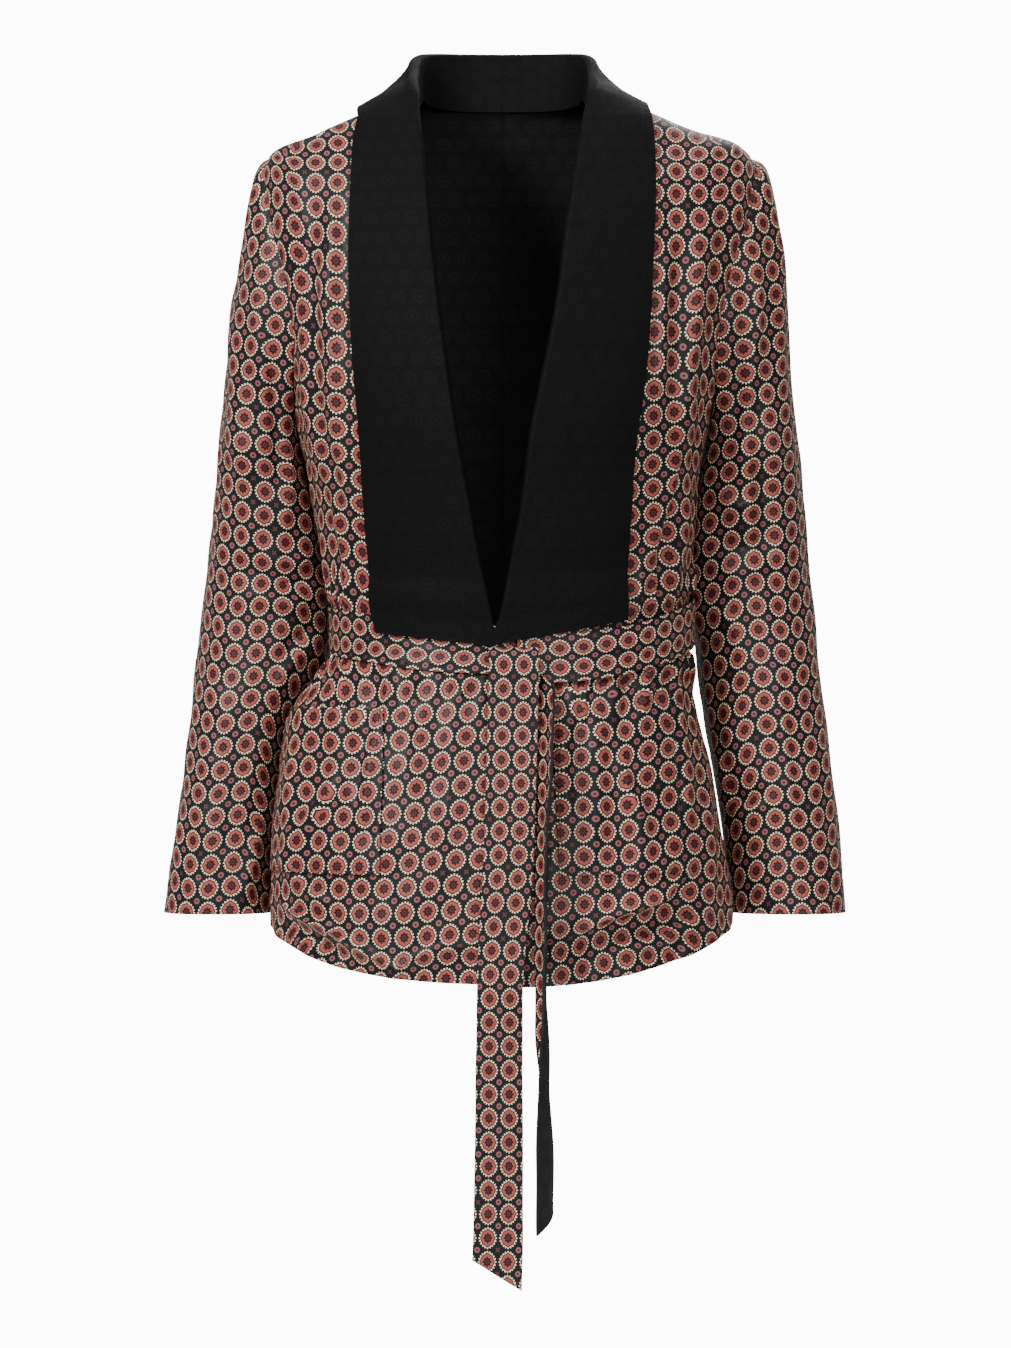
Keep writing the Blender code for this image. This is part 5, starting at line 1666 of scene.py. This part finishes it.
    def cloth_places(self, grid: Array) -> Array:
        """Places on the cloth, across from the outer line and up from the hem, in metres.

        Args:
            grid: Rings of points.

        Returns:
            Places, with one more column than the points.
        """
        ring = closed(grid)
        across = run_along(ring, 1)
        half = self.around // 2
        cap = self.cap_rows - 1
        across = np.where(np.arange(self.around + 1) > half, across - across[:, -1:], across)
        length = -run_along(grid[:, 0], 0)
        length += grid[cap, 0, 2] - length[cap]
        order = np.argsort(grid[:, 0, 2])
        up = np.interp(ring[..., 2], grid[order, 0, 2], length[order])
        levels = np.linspace(grid[cap, 0, 2], grid[0, 0, 2], 600)
        for turn in (1, -1):
            cols = [(turn * k) % self.around for k in range(half + 1)]
            at = np.empty((half + 1, len(levels), 3))
            for i, c in enumerate(cols):
                column = ring[:cap + 1, c][::-1]
                at[i] = np.stack([np.interp(levels, column[:, 2], column[:, k]) for k in range(3)], -1)
            there = np.array([levels <= ring[0, c, 2] for c in cols])
            steps = np.linalg.norm(np.diff(at[..., :2], axis=0), axis=-1) * there[1:]
            reach = turn * np.concatenate([np.zeros((1, len(levels))), np.cumsum(steps, axis=0)])
            for i, c in enumerate(cols[:half + (turn > 0)]):
                spot = self.around if turn < 0 and c == 0 else c
                across[:cap, spot] = np.interp(ring[:cap, c, 2], levels[there[i]], reach[i][there[i]])
        return np.stack([across, up + self.tilt * np.abs(across)], -1)

    def dress(self, hand: Hand) -> None:
        """Make the sleeve of one side.

        Args:
            hand: Which sleeve.
        """
        plain = self.rings(hand)
        belt = 0.0068 * ease(1 - np.abs(plain[..., 2] + 0.418) / 0.055)
        gap = np.maximum(0.0014, belt) * np.where(plain[..., 2] > -0.25, 0.3, 1.0)
        body = self.room.form.keep_off(plain, gap)
        body[:4] = plain[:4]
        body = smooth(body, 2)
        uv = self.cloth_places(body)
        away = unit((body - body.mean(axis=1, keepdims=True)) * np.array([1, 1, 0.15]))
        n = grid_normals(*(np.concatenate([g[:, -1:], closed(g)], axis=1) for g in (body, away)))[:, 1:-1]
        phi = 2 * np.pi * np.arange(self.around) / self.around
        x, up = np.abs(body[..., 0]), body[..., 2]
        rise = np.zeros_like(x)
        for crease in self.creases[hand]:
            weight = ease(0.5 + 0.8 * crease.face.value * np.sin(phi))
            rise += crease.rise(x, up) * weight
        rise += UNEVEN * waviness(uv[:, :-1, 0], uv[:, :-1, 1] * 0.5, 31 + hand.value,
                                  (0.070, 0.046, 0.031, 0.022))
        from_cap = np.arange(len(x))[:, None] / self.cap_rows
        puckers = np.sin(phi * 17 + 0.8 * np.sin(phi * 3)) * (0.55 + 0.45 * np.sin(phi * 5 + 1))
        rise += 0.0008 * puckers * ease(from_cap / 0.12) * ease(1 - from_cap / 0.50)
        rise *= ease(from_cap / 0.10)
        hem = uv[:, :-1, 1] - uv[-1:, :-1, 1]
        rise -= 0.0006 * np.exp(-((hem - 0.030) / 0.0016) ** 2)
        inner_gap = ease((np.abs(self.room.form.level(body)) - 0.02) / 0.10)
        rise = np.where(rise < 0, rise * (0.35 + 0.65 * inner_gap), rise * (0.45 + 0.55 * inner_gap))
        grid = body + n * rise[..., None]
        grid[..., 2] += self.room.form.shoulder_lift(body)
        uv = take_up(uv, closed(body), closed(grid))
        self.room.cloth("sleeve_" + hand.word, "printed_satin", grid, uv, CLOTH_WALL, n,
                        ["front_" + hand.word + "_cloth", "back_cloth"], (0.0090, 0.0070), ring=True)


@dataclass
class ShawlCollar:
    """The black shawl collar, each half cut in one from the centre back to its blunt end."""

    room: Workroom
    lower_end: dict[Hand, tuple[float, float]] = field(default_factory=lambda: {
        Hand.RIGHT: (-0.4325, -0.4225), Hand.LEFT: (-0.4310, -0.4120)})
    row_heights: tuple[float, ...] = (-0.0150, -0.032, -0.055, -0.085, -0.115, -0.145, -0.175, -0.205, -0.235,
                                      -0.265, -0.295, -0.320, -0.343, -0.363, -0.380, -0.392, -0.402, -0.412)
    inner_steps: int = 2
    roll_steps: int = 4
    fall_steps: int = 5
    bulge: float = 0.0020
    # How far the left half's lower end reaches under the right one: partly the halves' own overlap, partly
    # black cloth set as painted shade in the shaded gap between them.
    shade_fill_tuck: float = 0.0060
    inside: float = 0.0034
    roll_radius: float = 0.0036
    roll_rise: float = 0.0040
    rest: float = 0.0022
    rest_low: float = 0.0050

    def coarse(self, hand: Hand) -> Array:
        """Coarse points of a half, from its inner edge over the roll to its outer edge.

        Args:
            hand: Which half.

        Returns:
            Points, rows by columns.
        """
        form, side, neck = self.room.form, hand.value, len(NECK_FOLD)
        in_n, roll_n, fall_n = self.inner_steps, self.roll_steps, self.fall_steps
        fold = [(side * x, y, z) for x, y, z, *_ in NECK_FOLD]
        outs = [(side * ox, oy, oz) for *_, ox, oy, oz in NECK_FOLD]
        for z in self.row_heights:
            theta = form.angle_at(side * float(form.roll(hand, z)), z)
            fold.append(tuple(form.off(theta, z, 0.0004)))
            outs.append(tuple(form.normal(theta, z)))
        fold, outs = np.array(fold), unit(np.array(outs))
        up = unit(np.cross(unit(np.gradient(fold, axis=0)), outs))
        up = up * np.sign(up[0, 2])
        grid = np.zeros((len(fold), in_n + roll_n + fall_n + 1, 3))
        for i, (f, u, o) in enumerate(zip(fold, up, outs)):
            grid[i] = self.row(hand, i, f, u, o)
        outer = slice(in_n + roll_n, None)
        clear = 0.0021 + 0.0017 * ease((fold[:, 2] + 0.05) / 0.04)
        grid[:, outer] = form.keep_off(grid[:, outer], clear[:, None] * np.ones(fall_n + 1))
        self.lower_fall(hand, grid, neck)
        grid[0, :, 0] = side * 0.00002
        return grid

    def row(self, hand: Hand, i: int, f: Array, u: Array, o: Array) -> list[Array]:
        """Points of one row across a half.

        Args:
            hand: Which half.
            i: Number of the row, from the centre back.
            f: Point on the fold line.
            u: Direction across the fold, towards the neck.
            o: Direction out of the garment.

        Returns:
            The row's points, from the inner edge to the outer edge.
        """
        form, side, neck, z = self.room.form, hand.value, len(NECK_FOLD), f[2]
        radius = self.roll_radius + 0.0010 * float(ease((z + 0.02) / 0.02))
        low = float(ease((-0.372 - z) / 0.030))
        grow = 0.0040 * low
        high = 0.0016 * float(ease((z + 0.06) / 0.05))
        stand = self.rest + high + self.rest_low * low
        if i < neck:
            inner = np.array(NECK_EDGES[i][:3]) * (side, 1, 1)
            ex, ey = side * NECK_EDGES[i][3], NECK_EDGES[i][4]
            ez = form.height_at(ex, ey)
            edge = form.keep_off(np.array([ex, ey, ez]), stand)
        else:
            ex, ez = side * float(form.collar_edge(hand, z)), z
            t = form.angle_at(f[0] + side * (0.012 + 0.013 * min(1.0, (i - neck + 1) / 3)), z)
            inner = form.off(t, z, -self.inside)
            edge = form.off(form.angle_at(ex, z), z, stand)
        start_in, start_out = f - u * radius - o * radius, f - u * radius + o * (radius + grow)
        pts = []
        for t in np.arange(self.inner_steps) / self.inner_steps:
            p = inner * (1 - t) + start_in * t
            if i >= neck + 1:
                q = form.off(form.angle_at(p[0], p[2]), p[2], -self.inside)
                p = q * (1 - t ** 3) + p * t ** 3
            pts.append(p)
        middle, half = (start_in + start_out) / 2, (start_out - start_in) / 2
        for a in np.linspace(0, math.pi, self.roll_steps + 1):
            pts.append(middle - half * math.cos(a) + u * radius * math.sin(a))
        control = (start_out + edge) / 2 + o * self.bulge
        for t in np.arange(1, self.fall_steps + 1) / self.fall_steps:
            q = start_out * (1 - t) ** 2 + control * 2 * t * (1 - t) + edge * t * t
            if i >= neck - 2:
                x, height = start_out[0] * (1 - t) + ex * t, start_out[2] * (1 - t) + ez * t
                settled = ease(t / 0.45)
                off = (self.roll_rise + grow) * (1 - settled) + stand * settled
                flat = form.off(form.angle_at(x, height), height, off)
                mix = float(ease((i - neck + 2) / 4))
                q = q * (1 - mix) + flat * mix
            pts.append(q)
        return pts

    def lower_fall(self, hand: Hand, grid: Array, neck: int) -> None:
        """Spread the fall's last rows down to the collar's lower edge, below where the roll ends.

        Args:
            hand: Which half.
            grid: Its coarse points, which are moved.
            neck: Number of rows round the neck.
        """
        form, side = self.room.form, hand.value
        start_z = -0.343
        first = neck + self.row_heights.index(start_z)
        end_in, end_out = self.lower_end[hand]
        for i in range(first, len(grid)):
            share = (i - first) / (len(grid) - 1 - first)
            for k in range(self.fall_steps + 1):
                t = k / self.fall_steps
                goal = end_in + (end_out - end_in) * t ** 1.2
                z = start_z + (goal - start_z) * share
                low = float(ease((-0.372 - z) / 0.026))
                # The left half's inner edge runs under the right half, so its black fills the gap between the
                # halves, where there is only shade, as painted shade.
                under = self.shade_fill_tuck * float(ease((-0.405 - z) / 0.022)) if hand is Hand.LEFT else 0.0
                x0 = side * (float(form.roll(hand, z)) + 0.0034 * (1 - 0.7 * share) - under)
                x = x0 * (1 - t) + side * float(form.collar_edge(hand, z)) * t
                settled = ease(t / 0.45)
                stand = self.rest + self.rest_low * low
                off = (self.roll_rise + 0.0034 * low) * (1 - settled) + stand * settled
                grid[i, self.inner_steps + self.roll_steps + k] = form.off(form.angle_at(x, z), z, off)

    def dress(self, hand: Hand) -> None:
        """Make one half of the collar.

        Args:
            hand: Which half.
        """
        fine = refine(self.coarse(hand), 7, 7)
        roll_col = 7 * (self.inner_steps + self.roll_steps // 2)
        across = run_along(fine, 1)
        across -= across[:, roll_col:roll_col + 1]
        up = -run_along(fine[:, roll_col + 20], 0)[:, None] * np.ones((1, fine.shape[1]))
        uv = np.stack([across, up], -1)
        outward = np.zeros_like(fine)
        outward[..., :2] = unit(fine[..., :2])
        outward[:, :roll_col] *= -1
        n = unit(np.cross(np.gradient(fine, axis=0), np.gradient(fine, axis=1)))
        if np.sum(n[:, roll_col + 14:] * outward[:, roll_col + 14:]) < 0:
            n = -n
        fall = ease((across - 0.012) / 0.020) * ease((fine[..., 2] + 0.40) / 0.05)
        wave = 0.0009 * waviness(across, up * 0.45, 51 + hand.value, (0.090, 0.055, 0.038)) + 0.0009
        fine = fine + n * (wave * fall)[..., None]
        self.room.cloth("collar_" + hand.word, "black_jacquard", fine, uv, COLLAR_WALL, n,
                        ["front_" + hand.word + "_cloth", "back_cloth"], centred=True)


@dataclass
class TieBelt:
    """The tie belt: a printed strip lined with black, tied once, with two hanging tails."""

    room: Workroom
    half: float = 0.0195
    knot_depth: float = -0.1263
    knot_height: float = -0.4572
    taken_in: Array = field(default_factory=lambda: np.array([1.16, 1.04]))
    shift: Array = field(default_factory=lambda: np.array([0.0092, 0.0]))
    slant: dict[str, float] = field(default_factory=lambda: {"front": 0.0240, "side": 0.0180})
    per_degree: float = 0.0022
    # Folds of the strip: across is the angle in degrees times per_degree, up is from its middle line.
    creases: tuple[Crease, ...] = folds(
        (2.8, 1.6, 0.5, (10, 4), (50, 6), (110, 4), (170, 1)),
        (3, -1.4, 0, (20, -8), (70, -6), (140, -9)),
        (2.8, 1.2, -0.5, (-10, -10), (-60, -11), (-130, -8)),
        (3.5, -1, 0, (-15, 4), (-70, 6), (-150, 3)),
        (3.5, 1.2, 0, (250, 3), (330, -2), (390, 2)),
        (3.5, 1.2, 0, (-250, -2), (-320, 3), (-390, 0)),
    )

    def waist(self) -> None:
        """Make the stretch round the waist."""
        form = self.room.form
        theta = np.radians(np.concatenate([np.linspace(2.0, -180, 330), np.linspace(180, 3.0, 330)[1:]]))
        degrees = np.degrees(theta)
        share = np.linspace(-1, 1, 17)
        z = form.belt_middle(degrees)[:, None] + self.half * share
        wide = theta[:, None] * np.ones(len(share))
        level = form.lap(theta, np.full_like(theta, -0.45))
        out = np.where(np.abs(degrees) < 89, np.maximum(level, 0), 0) + 0.0009 + BELT_WALL
        base, n = form.point(wide, z), form.normal(wide, z)
        length = run_along(base[:, 8], 0)
        uv = np.stack(np.broadcast_arrays(self.half * share, length[:, None]), -1)
        turn = np.degrees(wide) * self.per_degree
        folded = creases_at(self.creases, turn, z - form.belt_middle(degrees)[:, None])
        ripple = 0.0005 * waviness(uv[..., 1], uv[..., 0] * 2.0, 61, (0.045, 0.028, 0.018))
        rounded = -0.0007 * np.abs(share) ** 6
        rise = np.maximum(folded + ripple + 0.0004, -0.0002) + rounded
        grid = base + n * (out[:, None] + rise)[..., None]
        self.room.cloth("belt_waist", "printed_satin", grid, uv * self.taken_in, BELT_WALL, n,
                        [*FRONT_CLOTHS, "back_cloth"], self.shift, uv)

    def strip(self, rows: Sequence[Sequence[float]], count: int, slant: float,
              seed: int) -> tuple[Array, Array]:
        """Fine points and cloth places of a hanging tail.

        Args:
            rows: The tail's table.
            count: Points across.
            slant: How far its end slants.
            seed: Seed of its gentle waves.

        Returns:
            Points, and cloth places in metres.
        """
        table = np.array(rows, float)
        if table.shape[1] == 4:
            table = np.concatenate([table, table[:, 3:4], 0 * table[:, 3:4]], axis=1)
        share = np.linspace(0, 1, count)
        heights = np.linspace(table[0, 0], table[-1, 0], 170)
        x0, x1, y0, y1, bow = (c(heights)[:, None] for c in columns(table))
        grid = np.zeros((len(heights), count, 3))
        grid[..., 0] = x0 + (x1 - x0) * share + bow * 4 * share * (1 - share)
        grid[..., 1] = y0 + (y1 - y0) * share
        end = ease((table[-3, 0] - heights) / (table[-3, 0] - table[-1, 0]))[:, None]
        grid[..., 2] = heights[:, None] - slant * share * end
        along, across = -run_along(grid[:, 0], 0), run_along(grid[..., :2], 1)
        across -= across[:, -1:] / 2
        uv = np.stack([across, along[:, None] - slant * share * end], -1)
        free = ease((-0.47 - heights) / 0.06)[:, None]
        wave = waviness(uv[..., 0] * 2, uv[..., 1], seed, (0.130, 0.080, 0.050))
        n = unit(np.cross(np.gradient(grid, axis=0), np.gradient(grid, axis=1)))
        return grid + n * (0.0011 * wave * free)[..., None], uv

    def tails(self) -> None:
        """Make the wide tail in front and the tail seen edge-on beside it."""
        for word, table, way, seed in (("front", TAIL_FRONT, (0, -1.0, 0), 71),
                                       ("side", TAIL_SIDE, (-1.0, 0, 0), 72)):
            grid, uv = self.strip(table, 13, self.slant[word], seed)
            self.room.cloth("belt_tail_" + word, "printed_satin", grid, uv * self.taken_in, BELT_WALL,
                            np.broadcast_to(way, grid.shape), ["belt_knot_cloth"], self.shift, uv)

    def knot(self) -> None:
        """Make the loop of strip that ties the belt."""
        turns = np.linspace(0, 2 * math.pi, 73)[:-1]
        xs = np.linspace(-0.0085, 0.0255, 25)
        grid = np.zeros((len(xs), len(turns), 3))
        for i, x in enumerate(xs):
            bulge = 1 - 0.22 * ((x - 0.0085) / 0.017) ** 2
            s, c = np.sin(turns), np.cos(turns)
            grid[i, :, 0] = x
            grid[i, :, 1] = self.knot_depth - 0.0046 * bulge * np.sign(c) * np.abs(c) ** 0.7
            grid[i, :, 2] = self.knot_height + 0.0172 * bulge * np.sign(s) * np.abs(s) ** 0.7
        outward = grid - np.array([0, self.knot_depth, self.knot_height])
        outward[..., 0] = 0
        girth = run_along(closed(grid), 1)
        uv = np.stack([xs[:, None] * np.ones(girth.shape[1]), girth], -1)
        self.room.cloth("belt_knot", "printed_satin", grid, uv, KNOT_WALL, outward, ["belt_waist_cloth"],
                        ring=True)

    def dress(self) -> None:
        """Make the whole belt."""
        self.waist()
        self.knot()
        self.tails()


@dataclass
class EdgeStitching:
    """Rows of stitches that Geometry Nodes lay along a line."""

    room: Workroom
    pitch: float = 0.0030
    length: float = 0.0021
    thickness: float = 0.00032

    def tree(self) -> bpy.types.GeometryNodeTree:
        """Build the node tree once: a line becomes a row of short round stitches.

        Returns:
            The node tree.
        """
        made = bpy.data.node_groups.get("stitch_row")
        if made:
            return made
        tree = bpy.data.node_groups.new("stitch_row", "GeometryNodeTree")
        face = tree.interface
        face.new_socket("Line", in_out="INPUT", socket_type="NodeSocketGeometry")
        sizes = (("Pitch", self.pitch), ("Stitch Length", self.length), ("Thickness", self.thickness))
        for name, value in sizes:
            face.new_socket(name, in_out="INPUT", socket_type="NodeSocketFloat").default_value = value
        face.new_socket("Thread", in_out="INPUT", socket_type="NodeSocketMaterial")
        face.new_socket("Stitches", in_out="OUTPUT", socket_type="NodeSocketGeometry")
        new = tree.nodes.new
        given, result = new("NodeGroupInput"), new("NodeGroupOutput")
        curve, points = new("GeometryNodeMeshToCurve"), new("GeometryNodeCurveToPoints")
        points.mode = "LENGTH"
        turn = new("FunctionNodeAlignRotationToVector")
        turn.axis = "Z"
        stitch = new("GeometryNodeMeshCylinder")
        stitch.inputs["Vertices"].default_value = 6
        place, real, paint = (new("GeometryNodeInstanceOnPoints"), new("GeometryNodeRealizeInstances"),
                              new("GeometryNodeSetMaterial"))
        for start, out, end, into in (
                (given, "Line", curve, "Mesh"), (curve, "Curve", points, "Curve"),
                (given, "Pitch", points, "Length"), (points, "Tangent", turn, "Vector"),
                (given, "Stitch Length", stitch, "Depth"), (given, "Thickness", stitch, "Radius"),
                (points, "Points", place, "Points"), (stitch, "Mesh", place, "Instance"),
                (turn, "Rotation", place, "Rotation"), (place, "Instances", real, "Geometry"),
                (real, "Geometry", paint, "Geometry"), (given, "Thread", paint, "Material"),
                (paint, "Geometry", result, "Stitches")):
            tree.links.new(start.outputs[out], end.inputs[into])
        return tree

    def along(self, name: str, line: Array) -> bpy.types.Object:
        """Lay a row of stitches along a line of points.

        Args:
            name: Name of the piece.
            line: The points that the stitches follow.

        Returns:
            The stitches as one plain mesh that rides on the jacket.
        """
        mesh = bpy.data.meshes.new(name)
        mesh.from_pydata(line.tolist(), [(i, i + 1) for i in range(len(line) - 1)], [])
        obj = in_scene(name, mesh)
        nodes = obj.modifiers.new("stitches", "NODES")
        nodes.node_group = self.tree()
        for item in nodes.node_group.interface.items_tree:
            if item.in_out == "INPUT" and item.name == "Thread":
                nodes[item.identifier] = self.room.thread
        self.room.settle(obj)
        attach(obj, "root")
        LOG.info("%s: %d faces", name, len(obj.data.polygons))
        return obj


@dataclass
class PhotoStudio:
    """Floor, soft lights and the camera at the photograph's angle."""

    distance: float = 4.0
    aim: tuple[float, float] = (0.002, -0.455)
    view_height: float = math.radians(15.54)
    floor_height: float = -1.12
    floor_radius: float = 0.86
    ambient: float = 0.40
    backdrop: float = 12.0
    # Name, place, size and power of each soft light.
    lights: tuple[tuple[str, tuple[float, float, float], float, float], ...] = (
        ("key", (-2.1, -2.6, 1.3), 1.0, 150.0),
        ("fill", (1.2, -3.5, 0.1), 1.8, 62.0),
        ("back", (0.8, 3.2, 1.8), 2.6, 70.0),
        ("top", (0.3, -0.8, 2.6), 1.8, 45.0),
    )

    def set_up(self) -> None:
        """Place everything that isn't the jacket."""
        bpy.ops.mesh.primitive_circle_add(vertices=96, radius=self.floor_radius, fill_type="NGON",
                                          location=(0, 0, self.floor_height))
        floor = bpy.context.object
        floor.name = "floor"
        floor.data.materials.append(PaleFloor().material())
        middle = np.array([0.0, 0.0, self.aim[1]])
        for name, place, size, power in self.lights:
            lamp = bpy.data.lights.new(name, "AREA")
            lamp.size, lamp.energy = size, power
            obj = in_scene(name, lamp)
            obj.location = place
            way = Vector(tuple(middle - np.array(place)))
            obj.rotation_euler = way.to_track_quat("-Z", "Y").to_euler()
            obj.visible_camera = False
        bpy.context.scene.world = self.backdrop_world()
        lens = bpy.data.cameras.new("camera")
        lens.sensor_fit = "VERTICAL"
        lens.angle = self.view_height
        camera = in_scene("camera", lens)
        camera.location = (self.aim[0], -self.distance, self.aim[1])
        camera.rotation_euler = (math.pi / 2, 0.0, 0.0)
        bpy.context.scene.camera = camera

    def backdrop_world(self) -> bpy.types.World:
        """Make the white surroundings, brighter as the backdrop than as a light.

        Returns:
            The world.
        """
        world = bpy.data.worlds.new("soft white")
        world.use_nodes = True
        tree = world.node_tree
        soft = tree.nodes["Background"]
        seen, path, mix = (tree.nodes.new("ShaderNodeBackground"), tree.nodes.new("ShaderNodeLightPath"),
                           tree.nodes.new("ShaderNodeMixShader"))
        for sky, strength in ((soft, self.ambient), (seen, self.backdrop)):
            sky.inputs["Color"].default_value = (1.0, 1.0, 1.0, 1.0)
            sky.inputs["Strength"].default_value = strength
        tree.links.new(path.outputs["Is Camera Ray"], mix.inputs[0])
        tree.links.new(soft.outputs[0], mix.inputs[1])
        tree.links.new(seen.outputs[0], mix.inputs[2])
        tree.links.new(mix.outputs[0], tree.nodes["World Output"].inputs["Surface"])
        return world


def main() -> None:
    """Build the sub-assemblies in order, then set up the studio."""
    logging.basicConfig(level=logging.INFO, format="%(name)s: %(message)s")
    form = BodyForm()
    # The lining is the collar's black cloth with its tone and figures lifted about four times as painted
    # light, because little light reaches inside the jacket.
    lining = BlackJacquard("black_lining", tone=(0.0130, 0.0130, 0.0140), raised=(0.0185, 0.0185, 0.0200),
                           roughness=0.60)
    room = Workroom(form, PrintedSatin().material(), BlackJacquard().material(), lining.material(),
                    SewingThread().material())
    panels = BodyPanels(form)
    fronts = Fronts(room, panels).dress()
    Back(room, panels).dress()
    PatchPockets(room).dress(fronts)
    for hand in Hand:
        SetInSleeve(room, panels).dress(hand)
        ShawlCollar(room).dress(hand)
    TieBelt(room).dress()
    PhotoStudio().set_up()


if __name__ == "__main__":
    main()
